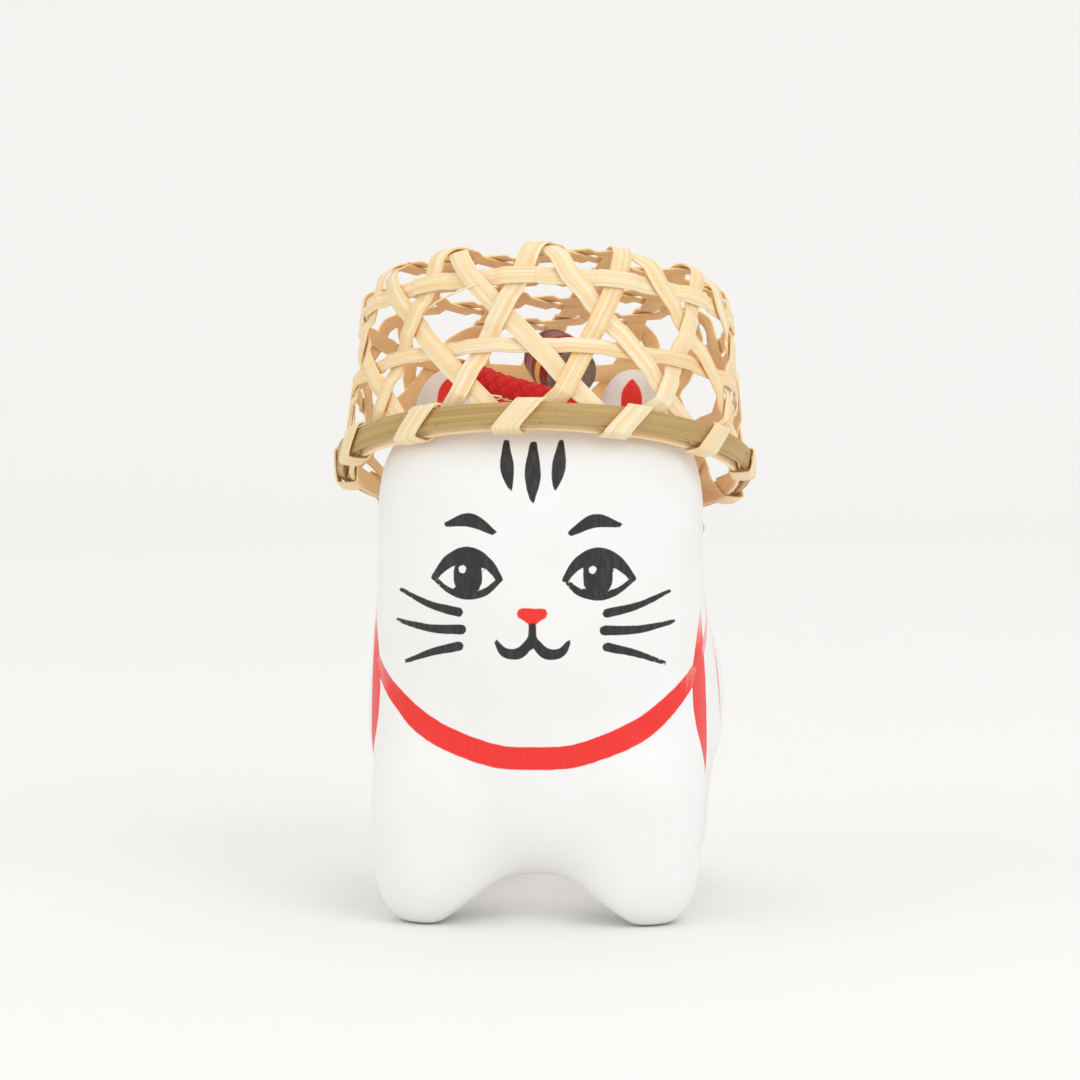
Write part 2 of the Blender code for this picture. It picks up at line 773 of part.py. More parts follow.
def seat_basket():
    """Rim centre at which the tipped basket rests on forehead and back at once."""
    normal = np.array((0.0, math.sin(basket_tilt), math.cos(basket_tilt)))
    back = np.array((0.0, math.cos(basket_tilt), -math.sin(basket_tilt)))
    turns = np.linspace(0, 2 * math.pi, seat_samples + 1)[:-1]
    low = -inner_hoop_height / 2 - inner_hoop_drop - gap - strip_thick
    rows = []
    inmost = inner_hoop_radius - gap - strip_thick
    outmost = outer_hoop_radius + outer_hoop_thick + gap + strip_thick
    for radius in (inmost, outmost):
        side = np.column_stack((np.sin(turns), np.zeros(len(turns)), np.zeros(len(turns)))) * radius
        rows.append(side - radius * np.cos(turns)[:, None] * back + low * normal)
    edge = np.vstack(rows)
    front = np.tile(np.cos(turns) > 0, 2)

    def settle(shift):
        start = np.array((0.0, head_center_y, head_center_z)) + back * shift
        down, up = 0.0, mould_reach
        for _ in range(halvings):
            lift = (down + up) / 2
            if mould(edge + start + normal * lift).min() > gap:
                up = lift
            else:
                down = lift
        level = mould(edge + start + normal * up)
        return start + normal * up, level[front].min() - level[~front].min()

    ahead, behind = 0.0, torso_length / 2
    for _ in range(halvings):
        shift = (ahead + behind) / 2
        if settle(shift)[1] > 0:
            ahead = shift
        else:
            behind = shift
    return settle((ahead + behind) / 2)[0]


def build_basket():
    build_strips()
    build_ring("upper_ring", upper_ring_width, 1)
    build_ring("lower_ring", lower_ring_width, 3)
    build_hoop(
        "outer_rim_hoop", outer_hoop_radius, outer_hoop_thick, outer_hoop_height, 0.0,
        outer_kerf_angle, rim_skin,
    )
    build_hoop(
        "inner_rim_hoop", inner_hoop_radius, inner_hoop_thick, inner_hoop_height, inner_hoop_drop,
        inner_kerf_angle, bamboo,
    )


def center_footprint():
    """Move the whole figure so that the middle of its box stands over zero."""
    graph = bpy.context.evaluated_depsgraph_get()
    depths = []
    for obj in parts.objects:
        if obj.type != "EMPTY":
            placed = obj.evaluated_get(graph)
            made = placed.to_mesh()
            depths += [(placed.matrix_world @ vert.co).y for vert in made.vertices]
            placed.to_mesh_clear()
    middle = (min(depths) + max(depths)) / 2
    cat.location.y = -middle
    return middle


for old in list(bpy.data.objects):
    bpy.data.objects.remove(old)

parts = collection("papier_mache_cat")
cutters = collection("cutters", hidden=True)
paper = material("white chalk paint on paper", (0.90, 0.90, 0.88), 0.7)
cord_red = material("red braided cord", (0.62, 0.02, 0.03), 0.8)
lacquer = material("lacquered wood", (0.30, 0.03, 0.02), 0.3)
drum_hide = material("drum hide", (0.30, 0.22, 0.18), 0.5)
bamboo = material("split bamboo", (0.86, 0.70, 0.42), 0.55)
rim_skin = material("brown bamboo skin", (0.45, 0.36, 0.18), 0.5)

crown_z = head_center_z + head_height / 2
leg_center_z = leg_height / 2 - foot_flat_depth
mould_middle = (0.0, (head_center_y + torso_center_y) / 2, (head_center_z + torso_center_z) / 2)
mould_reach = head_height + torso_length
basket_height = top_rise + 4 * level_rise
level_heights = [level_rise * level for level in (4, 3, 2, 1, 0)]
top_flat_radius = strip_pitch * math.sqrt(13 / 3)
rim_radius = top_flat_radius + shoulder_radius + wall_flare
weave_offset = (strip_thick + gap) / 2
hoop_slot = strip_thick + 2 * gap
inner_hoop_radius = rim_radius - hoop_slot / 2 - inner_hoop_thick
outer_hoop_radius = rim_radius + hoop_slot / 2
lean = wall_lean()
pitch_step = strip_pitch / math.sqrt(3)
slot_turn = 2 * math.pi / rim_slot_count
cord_path = smooth_path(cord_points, cord_steps)

drum_reach = math.hypot(drum_length / 2 + gap + drum_skin_thick, drum_radius - drum_edge_step)
drum_center = (drum_x, drum_y, crown_z + gap + drum_reach)

cat = empty("cat_root")
stick_turn = (-Vector(drum_stick_axis)).to_track_quat("Z", "Y").to_matrix().to_4x4()
stick_frame = Matrix.Translation(drum_center) @ stick_turn
drum = empty("drum_turn", cat, stick_frame)
drum_spin = stick_turn.inverted() @ Vector(drum_axis).to_track_quat("Z", "Y").to_matrix().to_4x4()
rim_middle = seat_basket()
basket = empty("basket_lift", cat, Matrix.Translation(rim_middle) @ Matrix.Rotation(-basket_tilt, 4, "X"))

cord_cutter, stick_cutter = build_body()
build_seam_band(cord_cutter, stick_cutter)
ear_cutter = build_ears(cord_cutter)
build_tail(ear_cutter)
build_cord()
build_drum()
build_basket()
stand_middle = center_footprint()
print("rim middle in mm", [round(1000 * float(v), 2) for v in rim_middle])
print("moved in mm", round(1000 * stand_middle, 3))
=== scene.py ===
import json
import math

import bmesh
import bpy
import numpy as np
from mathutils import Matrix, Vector

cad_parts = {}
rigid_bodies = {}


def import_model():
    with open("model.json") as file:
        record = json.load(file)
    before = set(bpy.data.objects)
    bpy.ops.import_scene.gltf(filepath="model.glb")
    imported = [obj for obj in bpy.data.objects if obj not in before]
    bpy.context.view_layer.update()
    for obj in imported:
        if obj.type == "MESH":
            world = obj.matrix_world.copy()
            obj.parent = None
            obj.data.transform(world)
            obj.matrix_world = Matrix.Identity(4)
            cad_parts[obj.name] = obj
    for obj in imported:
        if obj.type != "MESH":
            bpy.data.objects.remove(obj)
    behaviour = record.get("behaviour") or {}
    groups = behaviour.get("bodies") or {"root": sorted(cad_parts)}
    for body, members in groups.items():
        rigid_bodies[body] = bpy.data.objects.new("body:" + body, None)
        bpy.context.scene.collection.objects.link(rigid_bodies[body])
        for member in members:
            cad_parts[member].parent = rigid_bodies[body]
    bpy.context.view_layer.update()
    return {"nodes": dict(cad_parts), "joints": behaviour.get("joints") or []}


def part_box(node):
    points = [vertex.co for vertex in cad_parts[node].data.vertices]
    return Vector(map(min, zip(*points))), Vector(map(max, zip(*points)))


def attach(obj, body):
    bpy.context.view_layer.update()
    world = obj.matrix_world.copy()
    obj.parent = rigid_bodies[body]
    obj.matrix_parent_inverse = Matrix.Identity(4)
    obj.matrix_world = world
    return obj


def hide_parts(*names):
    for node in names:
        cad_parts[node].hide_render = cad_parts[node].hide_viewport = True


for old in list(bpy.data.objects):
    bpy.data.objects.remove(old)
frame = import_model()
print("frame loaded with", len(frame["nodes"]), "nodes")

mm = 0.001
weldReach = 0.0005 * mm
sideGuess = (0.3, 0.2, 0.9)
joints = {joint["name"]: joint for joint in frame["joints"]}
drumPlace = np.array(joints["drum_turn"]["pos_m"]) / mm
stickUp = np.array(joints["drum_turn"]["axis"])


# Helpers for grids and meshes

def unit(rows):
    return rows / np.linalg.norm(rows, axis=-1, keepdims=True)


def outFrom(angle):
    # level direction at an angle from the front, +X at a quarter turn
    return np.stack((np.sin(angle), -np.cos(angle), 0.0 * angle), axis=-1)


def aroundFrom(angle):
    # level direction a quarter turn on from outFrom
    return np.stack((np.cos(angle), np.sin(angle), 0.0 * angle), axis=-1)


def circleOf(left, up, sides):
    # directions round a circle in the plane of two axes, or of a row of axes
    angle = np.arange(sides)[:, None] / sides * 2 * math.pi
    return np.cos(angle) * left[..., None, :] + np.sin(angle) * up[..., None, :]


def runAlong(line):
    # distance from a line's start to each of its points
    return np.concatenate(([0.0], np.cumsum(np.linalg.norm(np.diff(line, axis=0), axis=1))))


def rowsAt(at, run, rows):
    # rows between the given ones, by distance
    return np.column_stack([np.interp(at, run, rows[:, k]) for k in range(rows.shape[1])])


def boxMiddle(node):
    low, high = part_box(node)
    return np.array((low + high) / 2) / mm


def gridFaces(rows, columns, ringRows=False, ringColumns=False):
    # quads between neighbouring rows and columns, joined round where the grid closes
    rowSteps, columnSteps = rows if ringRows else rows - 1, columns if ringColumns else columns - 1
    a, b = np.meshgrid(np.arange(rowSteps), np.arange(columnSteps), indexing="ij")
    c, d = (a + 1) % rows, (b + 1) % columns
    quads = np.stack((a * columns + b, a * columns + d, c * columns + d, c * columns + b), axis=-1)
    return quads.reshape(-1, 4)


def facingOut(points, quads):
    # six times the volume inside the skin, which is negative when the faces point inwards
    a, b, c, d = (points[quads[:, k]] for k in range(4))
    volume = (a * (np.cross(b, c) + np.cross(c, d))).sum()
    return quads if volume > 0 else quads[:, ::-1]


def addPiece(name, points, quads, finish, body, nodes, attributes=None, weld=False):
    # points are in millimetres in the row frame; each attribute has one value or vector a point
    data = bpy.data.meshes.new(name)
    data.from_pydata((points * mm).tolist(), [], facingOut(points, quads).tolist())
    for title, values in (attributes or {}).items():
        values = np.asarray(values, dtype=np.float32)
        kind = "FLOAT" if values.ndim == 1 else "FLOAT_VECTOR"
        layer = data.attributes.new(title, kind, "POINT")
        layer.data.foreach_set("value" if kind == "FLOAT" else "vector", values.ravel())
    if weld:
        bm = bmesh.new()
        bm.from_mesh(data)
        bmesh.ops.remove_doubles(bm, verts=bm.verts, dist=weldReach)
        bm.to_mesh(data)
        bm.free()
    data.polygons.foreach_set("use_smooth", np.ones(len(data.polygons), dtype=bool))
    data.materials.append(finish)
    piece = bpy.data.objects.new(name, data)
    bpy.context.scene.collection.objects.link(piece)
    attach(piece, body)
    if nodes:
        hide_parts(*nodes)
    return piece


def smoothCurve(knots, steps):
    # Catmull-Rom curve: each stretch is a cubic through its two knots, with slopes from their neighbours
    knots = np.asarray(knots, dtype=float)
    padded = np.vstack((2 * knots[0] - knots[1], knots, 2 * knots[-1] - knots[-2]))
    a, b, c, d = (padded[k : len(knots) - 1 + k, None] for k in range(4))
    t = (np.arange(steps) / steps)[None, :, None]
    rows = 0.5 * (2 * b + (c - a) * t + (2 * a - 5 * b + 4 * c - d) * t**2 + (3 * b - a - 3 * c + d) * t**3)
    return np.vstack((rows.reshape(-1, knots.shape[1]), knots[-1]))


def cutCorners(rows, rounds):
    # every corner is replaced by points a quarter before and after it
    for _ in range(rounds):
        mixed = np.empty((2 * len(rows) - 2, rows.shape[1]))
        mixed[0::2] = 0.75 * rows[:-1] + 0.25 * rows[1:]
        mixed[1::2] = 0.25 * rows[:-1] + 0.75 * rows[1:]
        rows = np.vstack((rows[:1], mixed, rows[-1:]))
    return rows


def evenSteps(line, step):
    # the same line with points at equal distances
    run = runAlong(line)
    at = np.linspace(0.0, run[-1], max(int(run[-1] / step), 2) + 1)
    return rowsAt(at, run, line), at


def sideAxes(line):
    # two directions across a line at each point, turned as little as possible from one point to the next
    along = unit(np.gradient(line, axis=0))
    first = np.cross(along[0], sideGuess)
    sides = [first / np.linalg.norm(first)]
    for direction in along[1:]:
        side = sides[-1] - direction * np.dot(sides[-1], direction)
        sides.append(side / np.linalg.norm(side))
    sides = np.array(sides)
    return sides, np.cross(along, sides)


def eased(x, knots, values):
    # steps from value to value along an S curve between the knots
    at = np.clip(np.interp(x, knots, np.arange(len(knots))), 0, len(knots) - 1.000001)
    low = at.astype(int)
    t = at - low
    t = t * t * (3 - 2 * t)
    return values[low] * (1 - t) + values[low + 1] * t


# Shader helpers

def nodeGroup(name, inputs, outputs):
    group = bpy.data.node_groups.new(name, "ShaderNodeTree")
    for title, kind, value in inputs:
        socket = group.interface.new_socket(title, in_out="INPUT", socket_type="NodeSocket" + kind)
        if value is not None:
            socket.default_value = value
    for title, kind in outputs:
        group.interface.new_socket(title, in_out="OUTPUT", socket_type="NodeSocket" + kind)
    return group, group.nodes.new("NodeGroupInput").outputs, group.nodes.new("NodeGroupOutput").inputs


def plug(tree, socket, value):
    # an input takes another node's output or a plain value
    if isinstance(value, bpy.types.NodeSocket):
        tree.links.new(value, socket)
    else:
        socket.default_value = value


def add(tree, kind, settings=None, **wires):
    # one node with its settings and its inputs, by name or, as i0, i1 and so on, by number
    node = tree.nodes.new("ShaderNode" + kind)
    for key, value in (settings or {}).items():
        setattr(node, key, value)
    for key, value in wires.items():
        plug(tree, node.inputs[int(key[1:]) if key[1:].isdigit() else key], value)
    return node


def math2(tree, operation, a, b, c=0.0):
    return add(tree, "Math", {"operation": operation}, i0=a, i1=b, i2=c).outputs[0]


def mixColor(tree, factor, a, b):
    return add(tree, "Mix", {"data_type": "RGBA"}, i0=factor, i6=a, i7=b).outputs[2]


def spread(tree, value, fromLow, fromHigh, toLow=0.0, toHigh=1.0):
    node = add(tree, "MapRange", {"clamp": True}, i0=value, i1=fromLow, i2=fromHigh, i3=toLow, i4=toHigh)
    return node.outputs[0]


def stretched(tree, vector, scale):
    return add(tree, "Mapping", None, Vector=vector, Scale=scale).outputs[0]


def noise(tree, vector, scale, detail, roughness=0.55):
    node = add(tree, "TexNoise", None, Vector=vector, Scale=scale, Detail=detail, Roughness=roughness)
    return node.outputs[0]


def objectPlace(tree):
    return add(tree, "TexCoord").outputs["Object"]


def newFinish(name, roughness, **constants):
    made = bpy.data.materials.new(name)
    made.use_nodes = True
    shader = made.node_tree.nodes["Principled BSDF"]
    shader.inputs["Roughness"].default_value = roughness
    for key, value in constants.items():
        shader.inputs[key.replace("_", " ")].default_value = value
    return made, made.node_tree, shader


def wire(tree, output, shader, name):
    tree.links.new(output, shader.inputs[name])


def bumpTo(tree, shader, height, distance, strength):
    node = add(tree, "Bump", None, Strength=strength, Distance=distance, Height=height)
    wire(tree, node.outputs[0], shader, "Normal")


def makePaintEdge():
    # a painted area where a distance in millimetres is below zero, with a hand's wobble along its edge
    group, given, result = nodeGroup(
        "paint edge",
        [
            ("Distance", "Float", 1.0), ("Wobble", "Float", 0.2), ("Softness", "Float", 0.08),
            ("Place", "Vector", None),
        ],
        [("Mask", "Float")],
    )
    sway = math2(group, "SUBTRACT", noise(group, given["Place"], 420.0, 2.0), 0.5)
    moved = math2(group, "MULTIPLY_ADD", sway, given["Wobble"], given["Distance"])
    low = math2(group, "MULTIPLY", given["Softness"], -1.0)
    group.links.new(spread(group, moved, given["Softness"], low), result["Mask"])
    return group


def makeFibres():
    # long fibres of split bamboo: fine lines along a strip, broad slow tone changes and rare dark specks
    group, given, result = nodeGroup(
        "bamboo fibres",
        [("Fibre", "Vector", None), ("Fineness", "Float", 1.0)],
        [("Lines", "Float"), ("Tone", "Float"), ("Specks", "Float")],
    )
    scaling = add(group, "VectorMath", {"operation": "SCALE"}, i0=given["Fibre"], Scale=given["Fineness"])
    scaled = scaling.outputs[0]
    fine = noise(group, stretched(group, scaled, (0.02, 2.6, 7.0)), 1.0, 4.0, 0.7)
    broad = noise(group, stretched(group, scaled, (0.02, 0.9, 5.0)), 1.0, 2.0)
    speck = noise(group, stretched(group, scaled, (0.6, 6.0, 3.0)), 1.0, 2.0)
    group.links.new(spread(group, fine, 0.3, 0.7), result["Lines"])
    group.links.new(spread(group, broad, 0.36, 0.64), result["Tone"])
    group.links.new(spread(group, speck, 0.7, 0.8), result["Specks"])
    return group


def useGroup(tree, group, **wires):
    node = tree.nodes.new("ShaderNodeGroup")
    node.node_tree = group
    for key, value in wires.items():
        plug(tree, node.inputs[key], value)
    return node.outputs


def attribute(tree, name, vector=False):
    return add(tree, "Attribute", {"attribute_name": name}).outputs["Vector" if vector else "Fac"]


paintEdge = makePaintEdge()
fibres = makeFibres()


# Camera at the photo's angle: the cat's face plane spans 180 mm at 750 mm

cameraSet = {
    "azimuth": 3.5, "elevation": 5.0, "distance": 750.0, "lens": 150.0,
    "aimAhead": -27.0, "aimHeight": 66.2, "aimRight": 1.25, "sensor": 36.0, "nearest": 0.01,
}
drumBehind = 8.0  # from the cat's own zero to the drum's middle
standMiddle = drumBehind - drumPlace[1]


def addCamera():
    turn, lift = math.radians(cameraSet["azimuth"]), math.radians(cameraSet["elevation"])
    back = outFrom(turn) * math.cos(lift) + (0.0, 0.0, math.sin(lift))
    straight = np.array((0.0, cameraSet["aimAhead"] - standMiddle, cameraSet["aimHeight"]))
    aim = straight + aroundFrom(turn) * cameraSet["aimRight"]
    data = bpy.data.cameras.new("photo camera")
    data.lens = cameraSet["lens"]
    data.sensor_width = cameraSet["sensor"]
    data.clip_start = cameraSet["nearest"]
    camera = bpy.data.objects.new("photo camera", data)
    camera.location = Vector((aim + back * cameraSet["distance"]) * mm)
    camera.rotation_euler = Vector(-back).to_track_quat("-Z", "Y").to_euler()
    bpy.context.scene.collection.objects.link(camera)
    bpy.context.scene.camera = camera


addCamera()


# Cord: the same points as the solid's, in millimetres from the cat's own zero

cordSet = {
    "radius": 2.1, "relief": 0.42, "strandsRound": 4, "plaitPitch": 2.5, "step": 0.11, "sides": 56,
    "roundAcross": 0.6, "roundAlong": 0.3, "curveSteps": 24, "pathEvery": 8, "capDepth": 0.5,
    "points": (
        (11.8, -12.5, 77.0), (10.6, -11.4, 82.4), (6.8, -9.8, 86.6), (0.8, -7.6, 88.9), (-7.0, -3.4, 90.8),
        (-13.2, 3.4, 92.6), (-15.5, 10.9, 90.2), (-11.3, 17.0, 86.4), (-3.0, 18.9, 83.8), (7.4, 18.4, 83.0),
        (15.0, 17.7, 80.5), (20.4, 16.5, 75.8), (23.6, 16.2, 70.6), (25.4, 16.9, 65.4), (24.6, 18.4, 60.6),
        (22.1, 20.0, 56.2), (19.2, 21.4, 52.2),
    ),
    # deep is the cord's red with painted shade for the creases between plaits; raised is the red on the
    # plaits' tops
    "deep": (0.56, 0.005, 0.008, 1), "raised": (0.80, 0.008, 0.012, 1), "thread": (0.85, 0.03, 0.03, 1),
}
knotSet = {"radius": 5.2, "thick": 0.38, "rise": 1.1, "steps": 240, "sides": 24, "depth": 0.7, "look": 3}


def makeCordFinish():
    made, tree, shader = newFinish("red braid", 0.8, Sheen_Weight=0.12, Sheen_Roughness=0.5)
    place = objectPlace(tree)
    thread = noise(tree, place, 2600.0, 2.0)
    depth = attribute(tree, "plaitDepth")
    # painted shade: the red darkens from the plaits' tops into the creases between them, by plaitDepth
    plait = mixColor(tree, spread(tree, depth, 0.0, 0.75), cordSet["deep"], cordSet["raised"])
    lively = mixColor(tree, spread(tree, thread, 0.3, 0.75, 0.0, 0.5), plait, cordSet["thread"])
    wire(tree, lively, shader, "Base Color")
    bumpTo(tree, shader, thread, 0.00012, 0.5)
    return made


def braidedTube(line, along):
    # radius of a plait at (distance, angle): two families of strands lean against each other
    # and take turns on top
    left, up = sideAxes(line)
    angle = np.arange(cordSet["sides"]) / cordSet["sides"] * 2 * math.pi
    share = cordSet["strandsRound"] * angle[None, :] / (2 * math.pi)
    climb = along[:, None] / cordSet["plaitPitch"]
    one, two = share + climb, share - climb
    oneOnTop = (np.floor(one) + np.floor(two)) % 2 == 0
    a, b = one % 1.0, two % 1.0
    across, lengthwise = np.where(oneOnTop, a, b), np.where(oneOnTop, b, a)
    ridge = np.sin(math.pi * across) ** cordSet["roundAcross"]
    depth = ridge * np.sin(math.pi * lengthwise) ** cordSet["roundAlong"]
    reach = cordSet["radius"] - cordSet["relief"] * (1 - depth)
    return line[:, None] + circleOf(left, up, cordSet["sides"]) * reach[:, :, None], depth


def buildCord(finish):
    points = np.array(cordSet["points"]) - (0.0, standMiddle, 0.0)
    line, along = evenSteps(smoothCurve(points, cordSet["curveSteps"]), cordSet["step"])
    tube, depth = braidedTube(line, along)
    rows, columns = tube.shape[:2]
    flat = tube.reshape(-1, 3)
    quads = gridFaces(rows, columns, ringColumns=True)
    caps = np.vstack((flat[:columns].mean(0), flat[-columns:].mean(0)))
    allPoints = np.vstack((flat, caps))
    j = np.arange(columns)
    k = (j + 1) % columns
    startCap, endCap = np.full(columns, len(flat)), np.full(columns, len(flat) + 1)
    start = np.column_stack((startCap, j, k, startCap))
    last = (rows - 1) * columns
    end = np.column_stack((endCap, last + k, last + j, endCap))
    # plait depth sets the painted crease shade; the end caps take a middle amount
    depths = np.concatenate((depth.ravel(), np.full(2, cordSet["capDepth"])))
    cord = addPiece(
        "redBraidCord", allPoints, np.vstack((quads, start, end)), finish, "cat", ["red_cord"],
        {"plaitDepth": depths}, weld=True,
    )
    for name, node in (("crownKnot", "cord_knot_crown"), ("napeKnot", "cord_knot_nape")):
        buildKnot(name, node, boxMiddle(node), finish)
    return along[-1]


def buildKnot(name, node, middle, finish):
    # overhand knot: a trefoil line that fits the ball of the solid, with a tube round it
    sides, look = knotSet["sides"], knotSet["look"]
    turn = np.linspace(0, 2 * math.pi, knotSet["steps"] + 1)[:-1]
    x, y = np.sin(turn) + 2 * np.sin(2 * turn), np.cos(turn) - 2 * np.cos(2 * turn)
    line = np.column_stack((x, y, -knotSet["rise"] * np.sin(3 * turn)))
    thick = knotSet["thick"] * knotSet["radius"]
    line *= (knotSet["radius"] - thick) / np.linalg.norm(line, axis=1).max()
    along = unit(np.roll(line, -1, axis=0) - np.roll(line, 1, axis=0))
    left = unit(np.cross(along, np.roll(along, -look, axis=0) - along + 1e-4))
    tube = line[:, None] + circleOf(left, np.cross(along, left), sides) * thick + middle
    depth = np.full(len(turn) * sides, knotSet["depth"])
    quads = gridFaces(len(turn), sides, True, True)
    return addPiece(name, tube.reshape(-1, 3), quads, finish, "cat", [node], {"plaitDepth": depth})


print("cord of", round(buildCord(makeCordFinish()), 1), "mm laid")


# Cat: one painted skin over the moulded halves, ears and tail, all in millimetres from the cat's own zero

catSet = {
    "head": {"middle": (0.0, -4.0, 60.7), "half": (27.9, 23.5, 26.0), "plan": 2.4, "side": 4.0},
    "chest": {"middle": (0.0, -7.5, 27.5), "half": (25.0, 17.0, 21.6), "plan": 2.4, "side": 2.4},
    "torso": {
        "middle": (0.0, 17.0, 33.0), "half": (31.0, 37.0), "rise": 31.5, "drop": 24.5,
        "round": 2.2, "long": 3.0,
    },
    "leg": {
        "half": (10.5, 10.0, 15.0), "height": 14.2, "plan": 2.2, "side": 2.8,
        "front": (17.3, -15.0), "rear": (17.3, 36.0),
    },
    "arch": {
        "half": 15.9, "height": 7.4, "bellyMiddle": 12.0, "bellyHalf": 19.0, "bellyHeight": 9.0,
        "round": 2.0, "slope": 0.75,
    },
    "ear": {"middle": (15.7, -4.0, 84.6), "half": (6.0, 4.5, 9.0), "plan": 2.0, "side": 2.0},
    "tail": {
        "line": ((46.0, 34.8), (55.0, 37.5), (58.5, 43.8), (59.0, 51.0)),
        "radius": 4.1, "tip": 2.6, "steps": 6,
    },
    "softness": 6.0, "earSoftness": 2.4, "footRound": 0.7,
    "lattice": 0.62, "low": (-33.6, -31.2, -1.6), "high": (33.6, 66.4, 96.0),
    "tailZone": {"beside": 12.0, "behind": 38.0, "far": 99.0},
    "slopeStep": 0.01, "settleRounds": 4, "leastSlope": 0.04, "longestStep": 0.6,
}


def softUnion(a, b, width):
    # the smaller of two distances, with the corner between them rounded over that width
    mix = np.clip(0.5 + 0.5 * (b - a) / width, 0.0, 1.0)
    return b + (a - b) * mix - width * mix * (1 - mix)


def eggDistance(points, middle, form):
    # superellipsoid: a rounded plan power and a side power, scaled by its smallest half size
    x, y, z = np.abs((points - np.array(middle)) / np.array(form["half"])).T
    plan = (x ** form["plan"] + y ** form["plan"]) ** (form["side"] / form["plan"])
    return ((plan + z ** form["side"]) ** (1 / form["side"]) - 1) * min(form["half"])


def torsoDistance(points):
    # barrel that is round across and long along the back, higher above its middle than below
    form = catSet["torso"]
    x, y, z = (points - np.array(form["middle"])).T
    rise = np.where(z > 0, form["rise"], form["drop"])
    around = np.abs(x / form["half"][0]) ** form["round"] + np.abs(z / rise) ** form["round"]
    far = np.abs(y / form["half"][1]) ** form["long"]
    return ((around ** (form["long"] / form["round"]) + far) ** (1 / form["long"]) - 1) * form["drop"]


def tailDistance(points):
    # distance to a line with a radius that shrinks towards its tip
    form, zone = catSet["tail"], catSet["tailZone"]
    line = smoothCurve([(0.0, y, z) for y, z in form["line"]], form["steps"])
    radii = np.linspace(form["radius"], form["tip"], len(line))
    best = np.full(len(points), zone["far"])
    near = (np.abs(points[:, 0]) < zone["beside"]) & (points[:, 1] > zone["behind"])
    gaps = np.linalg.norm(points[near, None] - line[None], axis=2) - radii
    best[near] = gaps.min(axis=1)
    return best


def archedUnder(level, points):
    # two parabolas, across and along, cut the space between the feet; the higher one counts, with a soft edge
    form = catSet["arch"]
    across = form["height"] * (1 - (points[:, 0] / form["half"]) ** 2)
    along = form["bellyHeight"] * (1 - ((points[:, 1] - form["bellyMiddle"]) / form["bellyHalf"]) ** 2)
    below = -softUnion(-across, -along, form["round"]) - points[:, 2]
    return -softUnion(-level, -form["slope"] * below, form["round"])


def catDistance(points):
    # head, torso, chest and legs run together, the arches are cut, ears and tail go on, feet end at z = 0
    mirrored = np.column_stack((np.abs(points[:, 0]), points[:, 1], points[:, 2]))
    head, chest, leg, ear = (catSet[name] for name in ("head", "chest", "leg", "ear"))
    soft, earSoft = catSet["softness"], catSet["earSoftness"]
    level = softUnion(eggDistance(points, head["middle"], head), torsoDistance(points), soft)
    level = softUnion(level, eggDistance(points, chest["middle"], chest), soft)
    legs = np.minimum(*(eggDistance(mirrored, (*leg[end], leg["height"]), leg) for end in ("front", "rear")))
    level = archedUnder(softUnion(level, legs, soft), points)
    level = softUnion(level, eggDistance(mirrored, ear["middle"], ear), earSoft)
    level = softUnion(level, tailDistance(points), earSoft)
    return -softUnion(-level, points[:, 2], catSet["footRound"])


def slopeOf(points):
    # the field and its slope, from its change over a short step along each axis
    step = catSet["slopeStep"]
    level = catDistance(points)
    slope = np.column_stack([(catDistance(points + step * axis) - level) / step for axis in np.eye(3)])
    return level, slope


def latticeSkin():
    # skin of a distance field: one point in each lattice cell that the surface crosses
    # and one quad at each crossed edge; the points then settle on the surface
    axes = [np.arange(low, high, catSet["lattice"]) for low, high in zip(catSet["low"], catSet["high"])]
    shape = tuple(len(axis) for axis in axes)
    where = np.stack(np.meshgrid(*axes, indexing="ij"), axis=-1).reshape(-1, 3)
    level = catDistance(where).reshape(shape)
    inside = level < 0
    corners = [inside[i : shape[0] - 1 + i, j : shape[1] - 1 + j, k : shape[2] - 1 + k]
               for i in (0, 1) for j in (0, 1) for k in (0, 1)]
    count = sum(corner.astype(int) for corner in corners)
    crossed = (count > 0) & (count < 8)
    number = np.full(crossed.shape, -1)
    number[crossed] = np.arange(crossed.sum())
    cells = np.argwhere(crossed)
    points = np.column_stack([axes[k][cells[:, k]] + catSet["lattice"] / 2 for k in range(3)])
    quads = []
    for axis in range(3):
        other = [k for k in range(3) if k != axis]
        first = np.argwhere(np.diff(inside.astype(int), axis=axis) != 0)
        rows = []
        for a, b in ((1, 1), (0, 1), (0, 0), (1, 0)):
            cell = first.copy()
            cell[:, other[0]] -= a
            cell[:, other[1]] -= b
            rows.append(number[tuple(cell.T)])
        leaving = inside[tuple(first.T)]
        ring = np.column_stack(rows)
        flip = leaving if axis == 1 else ~leaving
        quads.append(np.where(flip[:, None], ring[:, ::-1], ring))
    for _ in range(catSet["settleRounds"]):
        value, slope = slopeOf(points)
        step = slope * (value / np.maximum((slope**2).sum(axis=1), catSet["leastSlope"]))[:, None]
        length = np.maximum(np.linalg.norm(step, axis=1), 1e-9)
        points = points - step * np.minimum(1.0, catSet["longestStep"] / length)[:, None]
    return points, np.vstack(quads)


# Painted strokes: rows of (x or y, z, half width, strength) seen from the front or from the flank

